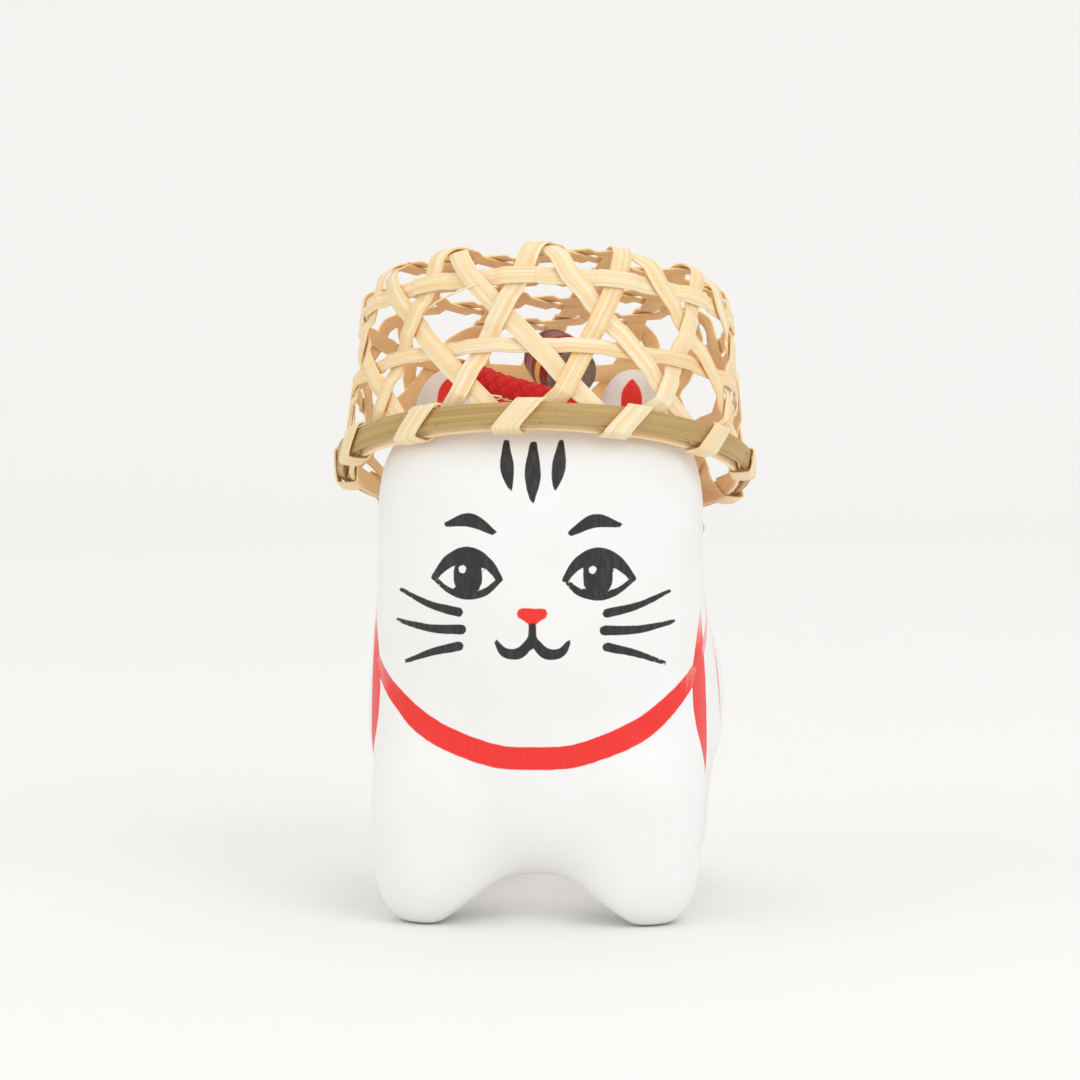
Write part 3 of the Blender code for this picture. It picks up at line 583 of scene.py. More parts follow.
inkStrokes = (
    ((5.4, 59.6, 0.5), (7.6, 62.3, 1.0), (10.8, 63.6, 1.4), (14.0, 62.5, 1.1), (16.8, 59.6, 0.5)),
    ((5.4, 59.6, 0.4), (7.8, 57.5, 0.6), (10.9, 56.7, 0.65), (14.0, 57.5, 0.55), (16.8, 59.6, 0.4)),
    ((10.9, 59.6, 2.5), (10.9, 60.6, 2.5)),
    ((6.4, 67.4, 0.5), (10.4, 69.4, 1.15), (14.6, 68.6, 0.4)),
    ((0.0, 51.8, 0.6), (0.0, 49.3, 0.75)),
    ((0.0, 49.5, 0.7), (2.2, 47.2, 0.95), (4.7, 47.3, 0.8), (6.2, 49.3, 0.3)),
    ((12.4, 53.9, 0.8), (17.4, 55.0, 0.62), (22.8, 57.2, 0.34)),
    ((12.0, 51.0, 0.85), (17.6, 51.0, 0.68), (23.4, 51.9, 0.34)),
    ((12.4, 48.2, 0.8), (17.2, 46.9, 0.62), (22.0, 44.9, 0.34)),
    ((0.0, 82.0, 0.6), (0.0, 77.0, 1.35), (0.0, 72.4, 0.3)),
    ((4.6, 82.4, 0.5), (4.3, 78.2, 1.15), (3.7, 74.6, 0.3)),
)
eyeGlint = {"eye": 10.9, "shift": (-0.9, 61.2), "radius": 0.7, "dot": (0.05, 0.1)}
redMarks = (
    ((-1.7, 53.9, 0.9), (0.0, 53.5, 1.25), (1.7, 53.9, 0.9)),
    ((0.0, 53.4, 1.2), (0.0, 52.3, 0.7)),
    ((15.7, 87.0, 1.7), (15.7, 89.4, 1.75), (15.7, 91.6, 0.5)),
)
flankStrokes = (
    {"sides": (1,), "rows": (
        (-10.0, 53.5, 0.3, 0.1), (-11.2, 47.5, 1.8, 0.8), (-11.2, 40.5, 3.0, 1.0),
        (-10.0, 31.5, 2.4, 1.0), (-8.2, 18.5, 0.2, 0.6),
    )},
    {"sides": (-1,), "rows": (
        (-8.2, 53.0, 0.3, 0.1), (-9.6, 47.5, 2.1, 0.75), (-9.6, 40.5, 3.4, 1.0),
        (-8.4, 32.0, 2.5, 0.95), (-6.6, 22.0, 0.2, 0.6),
    )},
    {"sides": (1, -1), "rows": (
        (1.5, 54.0, 0.3, 0.1), (3.0, 46.5, 1.4, 0.45), (4.6, 39.0, 1.4, 0.55), (6.0, 31.0, 0.2, 0.3),
    )},
)
collarSet = {
    "axisAhead": -4.0,
    "rows": (
        (0.0, 29.2, 1.95, 1.0), (20.0, 29.8, 1.95, 1.0), (43.0, 33.6, 1.95, 1.0), (60.0, 38.8, 1.75, 0.9),
        (75.0, 44.4, 1.3, 0.62), (88.0, 51.0, 0.8, 0.3), (98.0, 56.5, 0.3, 0.0),
    ),
}
layingSet = {"steps": 10, "castFrom": 45.0, "collarFrom": 60.0, "halvings": 40, "reach": 8.0, "bare": 9.0}
paintTones = {
    "white": ((0.87, 0.865, 0.85, 1), (0.90, 0.90, 0.895, 1)),
    "red": ((0.80, 0.016, 0.010, 1), (0.92, 0.028, 0.018, 1)),
    "ink": ((0.012, 0.012, 0.014, 1), (0.045, 0.042, 0.04, 1)),
}


def surfaceAlong(starts, direction, reach):
    # first place on the skin along a straight line, by halving
    near, far = np.zeros(len(starts)), np.full(len(starts), reach)
    for _ in range(layingSet["halvings"]):
        half = (near + far) / 2
        out = catDistance(starts + direction * half[:, None]) > 0
        near, far = np.where(out, half, near), np.where(out, far, half)
    return starts + direction * near[:, None]


def strokeDistance(points, line, halves, strengths):
    # distance to the stroke's edge and the strength at its nearest place, for points close to it
    edge, strength = np.full(len(points), layingSet["bare"]), np.zeros(len(points))
    low, high = line.min(axis=0) - layingSet["reach"], line.max(axis=0) + layingSet["reach"]
    near = np.flatnonzero(((points > low) & (points < high)).all(axis=1))
    a, b = line[:-1], line[1:]
    run = b - a
    t = ((points[near, None] - a) * run).sum(axis=2) / np.maximum((run**2).sum(axis=1), 1e-9)
    t = np.clip(t, 0, 1)
    gap = np.linalg.norm(points[near, None] - (a + run * t[:, :, None]), axis=2)
    gap -= halves[:-1] + (halves[1:] - halves[:-1]) * t
    best = gap.argmin(axis=1)
    rows = np.arange(len(near))
    edge[near] = gap[rows, best]
    strength[near] = strengths[best] + (strengths[best + 1] - strengths[best]) * t[rows, best]
    return edge, strength


def layStroke(rows, view, side=1):
    # a smooth line through the rows, cast on the skin from the front or from one flank
    rows = np.array([row if len(row) == 4 else (*row, 1.0) for row in rows])
    rows = smoothCurve(rows, layingSet["steps"])
    first, z, halves, strengths = rows.T
    away = layingSet["castFrom"]
    if view == "front":
        starts = np.column_stack((side * first, np.full(len(rows), -away), z))
        return surfaceAlong(starts, np.array((0.0, 1.0, 0.0)), away), halves, strengths
    starts = np.column_stack((np.full(len(rows), side * away), first, z))
    return surfaceAlong(starts, np.array((-side, 0.0, 0.0)), away), halves, strengths


def layCollar():
    # rows of (degrees from the front, z, half width, strength), mirrored and cast from all round the neck
    rows = np.array(collarSet["rows"])
    rows = smoothCurve(np.vstack((rows[:0:-1] * (-1, 1, 1, 1), rows)), layingSet["steps"])
    away = layingSet["collarFrom"]
    out = outFrom(np.radians(rows[:, 0]))
    starts = np.column_stack((np.zeros(len(rows)), np.full(len(rows), collarSet["axisAhead"]), rows[:, 1]))
    return surfaceAlong(starts + out * away, -out, away), rows[:, 2], rows[:, 3]


def paintCat(points):
    # edge distances of ink and red, and how thick the red was laid
    bare = layingSet["bare"]
    ink, red, strength = (np.full(len(points), value) for value in (bare, bare, 0.0))
    for stroke in inkStrokes:
        for side in (-1, 1):
            edge, _ = strokeDistance(points, *layStroke(stroke, "front", side))
            ink = np.minimum(ink, edge)
    for side in (-1, 1):
        x, z = side * eyeGlint["eye"] + eyeGlint["shift"][0], eyeGlint["shift"][1]
        step, half = eyeGlint["dot"]
        spot = layStroke(((x, z, half), (x, z + step, half)), "front")[0][0]
        ink = np.maximum(ink, eyeGlint["radius"] - np.linalg.norm(points - spot, axis=1))
    layers = [layCollar()]
    for side in (-1, 1):
        layers += [layStroke(mark, "front", side) for mark in redMarks]
    layers += [layStroke(mark["rows"], "flank", side) for mark in flankStrokes for side in mark["sides"]]
    for line, halves, strengths in layers:
        edge, laid = strokeDistance(points, line, halves, strengths)
        strength = np.where(edge < red, laid, strength)
        red = np.minimum(red, edge)
    return ink, red, strength


def makePaintedPaper():
    made, tree, shader = newFinish("chalk white paint", 0.55)
    place = objectPlace(tree)
    cloudy = noise(tree, place, 60.0, 3.0)
    white = mixColor(tree, spread(tree, cloudy, 0.35, 0.7), *paintTones["white"])
    inkMask = useGroup(
        tree, paintEdge, Distance=attribute(tree, "inkEdge"), Wobble=0.22, Softness=0.06, Place=place,
    )[0]
    redMask = useGroup(
        tree, paintEdge, Distance=attribute(tree, "redEdge"), Wobble=0.3, Softness=0.1, Place=place,
    )[0]
    dryBrush = noise(tree, stretched(tree, place, (1.0, 1.0, 0.22)), 1500.0, 2.0)
    uneven = math2(tree, "SUBTRACT", dryBrush, 0.5)
    laid = math2(tree, "MULTIPLY_ADD", uneven, 0.35, attribute(tree, "redLaid"))
    redAmount = math2(tree, "MULTIPLY", redMask, spread(tree, laid, 0.02, 0.85))
    redTone = mixColor(tree, dryBrush, *paintTones["red"])
    inkTone = mixColor(tree, spread(tree, dryBrush, 0.45, 0.8), *paintTones["ink"])
    painted = mixColor(tree, inkMask, mixColor(tree, redAmount, white, redTone), inkTone)
    wire(tree, painted, shader, "Base Color")
    covered = math2(tree, "MAXIMUM", inkMask, redAmount)
    wire(tree, spread(tree, covered, 0.0, 1.0, 0.56, 0.42), shader, "Roughness")
    fold = noise(tree, place, 240.0, 4.0)
    grit = noise(tree, place, 2200.0, 2.0)
    height = math2(tree, "MULTIPLY_ADD", grit, 0.12, fold)
    bumpTo(tree, shader, height, 0.00018, 0.35)
    return made


def buildCat(finish):
    points, quads = latticeSkin()
    ink, red, laid = paintCat(points)
    addPiece(
        "paintedCatSkin", points - (0.0, standMiddle, 0.0), quads, finish, "cat",
        ["body_left_half", "body_right_half", "ear_left", "ear_right", "tail", "seam_paper_band"],
        {"inkEdge": ink, "redEdge": red, "redLaid": laid},
    )
    return len(points)


print("cat skin of", buildCat(makePaintedPaper()), "points painted")


# Basket: strips, rings and hoops in millimetres, +Z from the rim plane to the closed top

basketSet = {
    "tilt": 18.0, "topRise": 6.7, "levelRise": 6.2, "levels": 5, "wallFlare": 2.4, "shoulder": 5.0,
    "pitch": 13.0, "slots": (-1.5, -0.5, 0.5, 1.5), "slotStep": 30.0, "firstHeading": 15.0, "gap": 0.3,
    "stripWidth": 3.4, "stripThick": 0.4, "ringWidths": {1: 3.0, 3: 2.6}, "levelDrift": 7.5,
    "levelTwist": 2.5, "step": 0.3, "topSteps": 160, "wallSteps": 420, "ringSteps": 720, "cornerRounds": 3,
    "leanGuess": 0.1, "leanRounds": 30, "middleShare": 0.4,
}
rimSet = {
    "outer": {"thick": 1.1, "height": 3.8, "drop": 0.0, "kerfAt": 78.0, "crown": 0.12, "seed": 31},
    "inner": {"thick": 0.9, "height": 3.6, "drop": 0.7, "kerfAt": 200.0, "crown": 0.05, "seed": 32},
    "kerf": 0.3, "kerfSlant": 35.0, "round": 0.3, "roundSteps": 4, "steps": 420,
    "waves": ((0.05, 5, 1), (0.04, 11, 2)),
    "wrapInside": 12.0, "wrapOutside": 6.0, "wrapCorner": 0.5, "wrapFold": 1.2,
    "startShare": 0.15, "bendShare": 0.1, "foldShare": 0.2, "bendFace": (0.4, 0.9),
}
sliverSet = {
    "thick": 0.16, "steps": 12,
    "lines": (
        (
            (-36.0, 19.6, 0.5, 0.05), (-30.0, 21.0, 0.95, 0.16), (-23.0, 22.3, 1.0, 0.18),
            (-17.0, 23.4, 0.55, 0.1),
        ),
        (
            (-12.4, 3.5, 0.45, 0.06), (-10.6, 3.2, 0.75, 0.1), (-8.9, 2.95, 0.9, 0.09),
            (-8.5, 2.7, 0.95, 0.07), (-9.4, 2.5, 0.85, 0.06), (-10.8, 2.6, 0.7, 0.03),
        ),
        ((66.0, 3.4, 0.5, 0.12), (70.0, 5.2, 0.8, 0.2), (73.5, 7.4, 1.1, 0.03)),
    ),
}
ringSeed, sliverSeed = 20, 50
bambooTones = {
    # inside is painted shade: the orange that faces turned into the basket take in its shade
    "pale": (0.96, 0.83, 0.60, 1), "warm": (0.95, 0.68, 0.35, 1), "inside": (0.99, 0.63, 0.26, 1),
    "line": (0.80, 0.53, 0.25, 1), "speck": (0.30, 0.17, 0.06, 1), "roughness": 0.5,
}
skinTones = {
    "pale": (0.47, 0.305, 0.10, 1), "warm": (0.60, 0.40, 0.15, 1), "inside": (0.72, 0.50, 0.24, 1),
    "line": (0.33, 0.20, 0.06, 1), "scratch": (0.10, 0.07, 0.03, 1),
}
pitch, shoulder, levelRise = (basketSet[key] for key in ("pitch", "shoulder", "levelRise"))
stripWidth, stripThick, gap = (basketSet[key] for key in ("stripWidth", "stripThick", "gap"))
topRadius = pitch * math.sqrt(13 / 3)  # where an outer strip of one direction crosses an inner one of another
basketHeight = basketSet["topRise"] + (basketSet["levels"] - 1) * levelRise
rimRadius = topRadius + shoulder + basketSet["wallFlare"]
levelHeights = [levelRise * level for level in range(basketSet["levels"])][::-1]
drift, twist, firstHeading = (
    math.radians(basketSet[key]) for key in ("levelDrift", "levelTwist", "firstHeading")
)
weaveTurn = math.pi / 3
weaveLift = (stripThick + gap) / 2
hoopSlot = stripThick + 2 * gap
innerHoopRadius = rimRadius - hoopSlot / 2 - rimSet["inner"]["thick"]
outerHoopRadius = rimRadius + hoopSlot / 2
rimMiddle = boxMiddle("outer_rim_hoop")


def fromBasket(points):
    # tipped back about X and set on the rim's middle
    tilt = math.radians(basketSet["tilt"])
    c, s = math.cos(tilt), math.sin(tilt)
    x, y, z = points.T
    return np.column_stack((x, y * c + z * s, z * c - y * s)) + rimMiddle


def findLean():
    # the wall's lean that meets both the shoulder and the rim, found by repeating
    lean = basketSet["leanGuess"]
    for _ in range(basketSet["leanRounds"]):
        run = basketHeight - shoulder * (1 - math.sin(lean))
        lean = math.atan((rimRadius - topRadius - shoulder * math.cos(lean)) / run)
    return lean


wallLean = findLean()


def lengthAt(height):
    # length from the top's middle, over the shoulder and down the wall
    corner = basketHeight - shoulder * (1 - math.sin(wallLean))
    return topRadius + shoulder * (math.pi / 2 - wallLean) + (corner - height) / math.cos(wallLean)


def onBasket(lengths, angles):
    # places and normals on the flat top, round shoulder and straight wall, by that length and the angle
    turnEnd = math.pi / 2 - wallLean
    turn = np.clip((lengths - topRadius) / shoulder, 0.0, turnEnd)
    run = np.maximum(lengths - topRadius - shoulder * turnEnd, 0.0)
    radius = np.minimum(lengths, topRadius) + shoulder * np.sin(turn) + run * math.sin(wallLean)
    height = basketHeight - shoulder * (1 - np.cos(turn)) - run * math.cos(wallLean)
    out, up = outFrom(angles), np.array((0.0, 0.0, 1.0))
    normals = out * np.sin(turn)[:, None] + up * np.cos(turn)[:, None]
    return out * radius[:, None] + up * height[:, None], normals


def footprint(width, other, angle):
    # half the length of a strip that lies over another one at that angle, edges included
    return (other / 2 + width / 2 * abs(math.cos(angle))) / math.sin(angle)


def wallSlope(sense):
    # a strip's angle from upright on the wall
    return math.atan(abs(twist - sense * drift) * rimRadius / levelRise)


def slotAngle(count):
    # a slot's angle from the heading, half a step from the middle and a whole step from slot to slot
    return math.radians(basketSet["slotStep"] * (count + 0.5))


def flatStretch(kind, sense):
    # half the length over which a strip lies flat against the one that it crosses
    slope = wallSlope(sense)
    if kind == "flat":
        return footprint(stripWidth, stripWidth, weaveTurn)
    if kind == "edge":
        fall = lengthAt(levelHeights[0]) - topRadius
        return footprint(stripWidth, stripWidth, 2 * math.atan(drift * topRadius / fall))
    if kind == "cross":
        return footprint(stripWidth, stripWidth, slope + wallSlope(-sense))
    return footprint(stripWidth, basketSet["ringWidths"][kind], math.pi / 2 - slope)


def stripSide(heading, offset):
    # half a strip from the top's middle line to the rim, with its crossings
    topSteps = basketSet["topSteps"]
    flatEnd = math.sqrt(topRadius**2 - offset**2)
    runs = np.linspace(0.0, flatEnd, topSteps)
    places = runs[:, None] * outFrom(heading) + offset * aroundFrom(heading) + (0.0, 0.0, basketHeight)
    sense = 1 if offset > 0 else -1
    exact = heading + math.asin(offset / topRadius)
    nominal = heading + sense * slotAngle(round(abs(offset) / pitch - 0.5))
    step = twist - sense * drift
    levels = np.array([topRadius] + [lengthAt(height) for height in levelHeights])
    angles = np.array([exact] + [nominal + step * (i + 1) for i in range(len(levelHeights))])
    lengths = np.linspace(levels[0], levels[-1], basketSet["wallSteps"])[1:]
    wallPlaces, wallNormals = onBasket(lengths, np.interp(lengths, levels, angles))
    places = np.vstack((places, wallPlaces))
    normals = np.vstack((np.tile((0.0, 0.0, 1.0), (topSteps, 1)), wallNormals))
    distance = runAlong(places)
    pitchStep = pitch / math.sqrt(3)
    crossings = np.arange(flatEnd - pitchStep, 0.0, -pitchStep)[::-1]
    marks = [*crossings, flatEnd, *np.interp(levels[1:-1], lengths, distance[topSteps:])]
    kinds = ["flat"] * len(crossings) + ["edge", 1, "cross", 3, "cross"]
    return {
        "places": places, "normals": normals, "distance": distance, "marks": marks, "kinds": kinds,
        "rim": angles[-1], "sense": sense,
    }


def rimRows(route, leanRun):
    # places, half widths and normals of a strip that folds along the rim
    rows = []
    half = stripWidth / 2 * math.hypot(1.0, leanRun)
    for radius, height, angle, (out, up) in route:
        place = outFrom(angle) * radius + (0.0, 0.0, height)
        faced = unit(outFrom(angle) * out + (0.0, 0.0, up))
        rows.append(np.concatenate((place, aroundFrom(angle) * half, faced)))
    return np.array(rows)


def rimWrap(angle):
    # down inside both hoops, under them, up the outside and folded over the top
    half, corner, bend = stripThick / 2, rimSet["wrapCorner"], rimSet["bendShare"]
    turnIn, turnOut = math.radians(rimSet["wrapInside"]), math.radians(rimSet["wrapOutside"])
    outerHeight, innerHeight = rimSet["outer"]["height"], rimSet["inner"]["height"]
    drop = rimSet["inner"]["drop"]
    outer = outerHoopRadius + rimSet["outer"]["thick"] + gap + half
    inner = innerHoopRadius - gap - half
    outerTop, innerTop = outerHeight / 2 + gap + half, innerHeight / 2 - drop + gap
    under = -innerHeight / 2 - drop - gap - half
    low = angle - turnIn
    end = low + turnOut
    out, up = rimSet["bendFace"]
    route = (
        (inner, innerTop, angle - turnIn * rimSet["startShare"], (1, 0)),
        (inner, under + corner, low + turnIn * bend, (1, 0)),
        (inner + corner, under, low, (out, up)),
        (outer - corner, under, low, (-out, up)),
        (outer, under + corner, low, (-1, 0)),
        (outer, outerTop - corner, end, (-1, 0)),
        (outer - corner, outerTop, end + turnOut * bend, (-out, -up)),
        (outer - rimSet["wrapFold"], outerTop, end + turnOut * rimSet["foldShare"], (0, -1)),
    )
    return rimRows(route, turnOut * outer / outerHeight)


def rimTail(angle):
    # between the two hoops, cut off level with the outer one's lower edge
    middle = innerHoopRadius + rimSet["inner"]["thick"] + hoopSlot / 2
    slope = (twist + drift) / levelRise
    low = -rimSet["outer"]["height"] / 2
    route = [(middle, height, angle - slope * height, (1, 0)) for height in (gap - low, low)]
    return rimRows(route, slope * middle)


stripOutline = np.array((
    (-1.0, -0.5), (-0.95, -1.0), (0.95, -1.0), (1.0, -0.5), (1.0, 0.5), (0.95, 1.0), (-0.95, 1.0), (-1.0, 0.5)
))
outlineCap = np.array(((0, 1, 2, 3), (0, 3, 4, 7), (7, 4, 5, 6)))


def bambooPiece(name, points, quads, finish, node, fibre, inside):
    # fibre: along the grain, across it, and a number that sets one piece's grain apart from another's
    fibre = np.stack([np.broadcast_to(part, points.shape[:2]) for part in fibre], axis=-1)
    inside = np.broadcast_to(inside, points.shape[:2]).astype(float)
    addPiece(
        name, fromBasket(points.reshape(-1, 3)), quads, finish, "basket", [node] if node else [],
        {"fibre": fibre.reshape(-1, 3), "innerSide": inside.ravel()},
    )


def ribbonPiece(name, rows, finish, node, seed, closed=False, thick=stripThick):
    # the strip's outline carried along rows of place, half width and normal
    places, across, faced = rows[:, :3], rows[:, 3:6], unit(rows[:, 6:9])
    wide, deep = stripOutline[None, :, :1], stripOutline[None, :, 1:]
    points = places[:, None] + wide * across[:, None] + thick / 2 * deep * faced[:, None]
    count, sides = points.shape[:2]
    quads = gridFaces(count, sides, ringRows=closed, ringColumns=True)
    if not closed:
        quads = np.vstack((quads, outlineCap[:, ::-1], outlineCap + sides * (count - 1)))
    # a face counts as inner where it looks towards the basket's middle and takes the painted warm shade of
    # the basket's inside, so a folded end shows its outer tone
    middle = (0.0, 0.0, basketHeight * basketSet["middleShare"])
    outward = np.sign(((places - middle) * faced).sum(axis=1))
    fibre = (runAlong(places)[:, None], stripOutline[:, 0] * np.linalg.norm(across, axis=1)[:, None], seed)
    bambooPiece(name, points, quads, finish, node, fibre, stripOutline[:, 1] * outward[:, None] < 0)


def stripRows(far, near):
    # the whole strip: far end, wall, top, wall and near end, over and under what it crosses
    length = far["distance"][-1]
    places = np.vstack((far["places"][:0:-1], near["places"]))
    normals = np.vstack((far["normals"][:0:-1], near["normals"]))
    distance = np.concatenate((length - far["distance"][:0:-1], length + near["distance"]))
    marks = [length - mark for mark in reversed(far["marks"])] + [length + mark for mark in near["marks"]]
    kinds = list(reversed(far["kinds"])) + near["kinds"]
    senses = [far["sense"]] * len(far["marks"]) + [near["sense"]] * len(near["marks"])
    knots, lifts = [], []
    for i, (mark, kind, sense) in enumerate(zip(marks, kinds, senses)):
        before = after = flatStretch(kind, sense)
        if kind == "edge":
            inward = flatStretch("flat", sense)
            before, after = (before, inward) if i < len(marks) / 2 else (inward, after)
        lift = weaveLift * far["sense"] * (-1) ** i
        knots += [mark - before, mark + after]
        lifts += [lift, lift]
    at = np.linspace(knots[0], knots[-1], int((knots[-1] - knots[0]) / basketSet["step"]))
    faced, line = unit(rowsAt(at, distance, normals)), rowsAt(at, distance, places)
    along = unit(np.gradient(line, axis=0))
    line = line + faced * eased(at, np.array(knots), np.array(lifts))[:, None]
    across = unit(np.cross(faced, along)) * stripWidth / 2
    rows = np.hstack((line, across, faced))
    ends = []
    for side, last in ((far, rows[0]), (near, rows[-1])):
        fold = rimWrap(side["rim"]) if side["sense"] > 0 else rimTail(side["rim"])
        fold[:, 3:6] *= np.sign(np.dot(fold[0, 3:6], last[3:6]))
        ends.append(cutCorners(np.vstack((last, fold)), basketSet["cornerRounds"])[1:])
    return np.vstack((ends[0][::-1], rows, ends[1]))


def buildStrips(finish):
    # four strips in each of the three directions
    number = 0
    for turn in range(3):
        for slot in basketSet["slots"]:
            number += 1
            heading, offset = firstHeading + turn * weaveTurn, slot * pitch
            rows = stripRows(stripSide(heading + math.pi, -offset), stripSide(heading, offset))
            ribbonPiece(f"bambooStrip{number:02d}", rows, finish, f"weave_strip_{number:02d}", number)


def buildRing(name, node, level, finish):
    # outside each strip that leans one way and inside each that leans the other
    width = basketSet["ringWidths"][level]
    length = lengthAt(levelHeights[level - 1])
    radius = np.linalg.norm(onBasket(np.array([length]), np.zeros(1))[0][0, :2])
    turn, lap = 2 * math.pi, 4
    knots, lifts = [], []
    for count in range(3 * len(basketSet["slots"])):
        for sense in (1, -1):
            reach = footprint(width, stripWidth, math.pi / 2 - wallSlope(sense)) / radius
            middle = (firstHeading + slotAngle(count) + (twist - sense * drift) * level) % turn
            knots += [middle - reach, middle + reach]
            lifts += [sense * weaveLift] * 2
    order = np.argsort(knots)
    knots, lifts = np.array(knots)[order], np.array(lifts)[order]
    knots = np.concatenate((knots[-lap:] - turn, knots, knots[:lap] + turn))
    lifts = np.concatenate((lifts[-lap:], lifts, lifts[:lap]))
    angles = np.linspace(0, turn, basketSet["ringSteps"] + 1)[:-1]
    places, normals = onBasket(np.full(len(angles), length), angles)
    places = places + normals * eased(angles, knots, lifts)[:, None]
    across = np.cross(normals, aroundFrom(angles)) * width / 2
    ribbonPiece(name, np.hstack((places, across, normals)), finish, node, ringSeed + level, closed=True)


def buildSlivers(finish):
    # loose fibres that stand off the weave: rows of (angle, height, standing off, half width)
    for number, rows in enumerate(sliverSet["lines"]):
        angle, height, off, half = smoothCurve(rows, sliverSet["steps"]).T
        places, normals = onBasket(lengthAt(height), np.radians(angle))
        places = places + normals * off[:, None]
        across = unit(np.cross(normals, np.gradient(places, axis=0))) * half[:, None]
        rows = np.hstack((places, across, normals))
        seed = sliverSeed + number
        ribbonPiece(f"looseFibre{number + 1}", rows, finish, None, seed, thick=sliverSet["thick"])


def buildHoop(name, node, form, radius, finish):
    # a bent lath: rounded section with a crowned outer face, carried round the rim and open at a slanted kerf
    thick, height, crown, seed = (form[key] for key in ("thick", "height", "crown", "seed"))
    corner, steps = rimSet["round"], rimSet["steps"]
    turn = np.linspace(0, math.pi / 2, rimSet["roundSteps"])
    outline = []
    for sx, sz, quarter in ((1, 1, 0), (-1, 1, 1), (-1, -1, 2), (1, -1, 3)):
        angle = quarter * math.pi / 2 + turn
        x, z = sx * (thick / 2 - corner), sz * (height / 2 - corner)
        outline.append(np.column_stack((x + corner * np.cos(angle), z + corner * np.sin(angle))))
    x, z = np.vstack(outline).T
    inner = x < 0
    x = x - np.where(x > 0, crown * (2 * z / height) ** 2, 0.0)
    margin = rimSet["kerf"] / 2 / radius
    share = np.linspace(margin, 2 * math.pi - margin, steps)[:, None]
    slant = math.tan(math.radians(rimSet["kerfSlant"])) * z / radius
    wobble = sum(size * np.sin(count * share + shift * seed) for size, count, shift in rimSet["waves"])
    out = outFrom(math.radians(form["kerfAt"]) + share + slant)
    rise = (z - form["drop"] + wobble)[:, :, None] * (0.0, 0.0, 1.0)
    points = out * (radius + thick / 2 + x)[:, None] + rise
    sides = len(x)
    i = np.arange(sides // 2 - 1)
    cap = np.column_stack((i, i + 1, sides - 2 - i, sides - 1 - i))
    quads = gridFaces(steps, sides, ringColumns=True)
    quads = np.vstack((quads, cap[:, ::-1], cap + sides * (steps - 1)))
    bambooPiece(name, points, quads, finish, node, (share * radius, z, seed), inner)


def makeBamboo():
    roughness = bambooTones["roughness"]
    made, tree, shader = newFinish(
        "split bamboo", roughness,
        Subsurface_Weight=0.35, Subsurface_Scale=0.0006, Subsurface_Radius=(1.0, 0.7, 0.35),
    )
    lines, tone, specks = useGroup(tree, fibres, Fibre=attribute(tree, "fibre", True), Fineness=1.0)
    color = mixColor(tree, tone, bambooTones["pale"], bambooTones["warm"])
    color = mixColor(tree, spread(tree, lines, 0.5, 1.0, 0.0, 0.8), color, bambooTones["line"])
    color = mixColor(tree, math2(tree, "MULTIPLY", specks, 0.35), color, bambooTones["speck"])
    # painted shade: faces turned to the basket's middle are tinted orange for the warm shade inside the
    # basket
    inside = math2(tree, "MULTIPLY", attribute(tree, "innerSide"), 0.55)
    wire(tree, mixColor(tree, inside, color, bambooTones["inside"]), shader, "Base Color")
    wire(tree, spread(tree, lines, 0.0, 1.0, roughness - 0.08, roughness + 0.1), shader, "Roughness")
    bumpTo(tree, shader, lines, 0.00012, 0.6)
    return made


def makeRimSkin():
    made, tree, shader = newFinish("brown bamboo skin", 0.5)
    fibre = attribute(tree, "fibre", True)
    lines, tone, _ = useGroup(tree, fibres, Fibre=fibre, Fineness=1.4)
    color = mixColor(tree, tone, skinTones["pale"], skinTones["warm"])
    color = mixColor(tree, spread(tree, lines, 0.3, 1.0, 0.0, 0.6), color, skinTones["line"])
    scratch = noise(tree, stretched(tree, fibre, (2.2, 0.35, 1.0)), 1.0, 2.0)
    color = mixColor(tree, spread(tree, scratch, 0.66, 0.74, 0.0, 0.7), color, skinTones["scratch"])
    inside = math2(tree, "MULTIPLY", attribute(tree, "innerSide"), 0.7)
    wire(tree, mixColor(tree, inside, color, skinTones["inside"]), shader, "Base Color")
    wire(tree, spread(tree, tone, 0.0, 1.0, 0.38, 0.55), shader, "Roughness")
    bumpTo(tree, shader, lines, 0.00012, 0.5)
    return made


bambooPale = makeBamboo()
buildStrips(bambooPale)
buildRing("upperRing", "upper_ring", 1, bambooPale)
buildRing("lowerRing", "lower_ring", 3, bambooPale)
buildSlivers(bambooPale)
buildHoop("outerRimHoop", "outer_rim_hoop", rimSet["outer"], outerHoopRadius, makeRimSkin())
buildHoop("innerRimHoop", "inner_rim_hoop", rimSet["inner"], innerHoopRadius, bambooPale)
print("basket woven")


# Toy drum: turned shapes about its own axis, and the stick about the joint's axis

drumSet = {
    "axis": (0.48, -0.80, -0.36), "radius": 5.3, "length": 8.0, "wall": 1.2, "edgeStep": 0.6, "gap": 0.3,
    "steps": 81, "sides": 72, "sideGuess": (0.2, 0.3, 0.93),
    "grooves": 5, "grooveDeep": 0.10, "grooveSharp": 8,
    "bands": (
        (0.0, (0.24, 0.010, 0.008, 1)), (0.24, (0.34, 0.10, 0.06, 1)), (0.44, (0.28, 0.010, 0.008, 1)),
        (0.60, (1.0, 0.70, 0.16, 1)), (0.78, (0.34, 0.008, 0.008, 1)),
    ),
    "worn": (0.36, 0.12, 0.07, 1),
}
hideSet = {
    "thick": 0.6, "steps": 14, "lip": 0.25, "dip": 0.12, "dome": 0.10, "shoulder": 0.2, "bevel": 0.05,
    "dark": (0.18, 0.115, 0.10, 1), "light": (0.36, 0.26, 0.215, 1),
}
stickSet = {
    "radius": 1.1, "below": 14.0, "above": 4.6, "tip": 0.6, "topBevel": 0.35, "lowBevel": 0.8,
    "sides": 28, "grain": 3.0, "seed": 41.0,
}


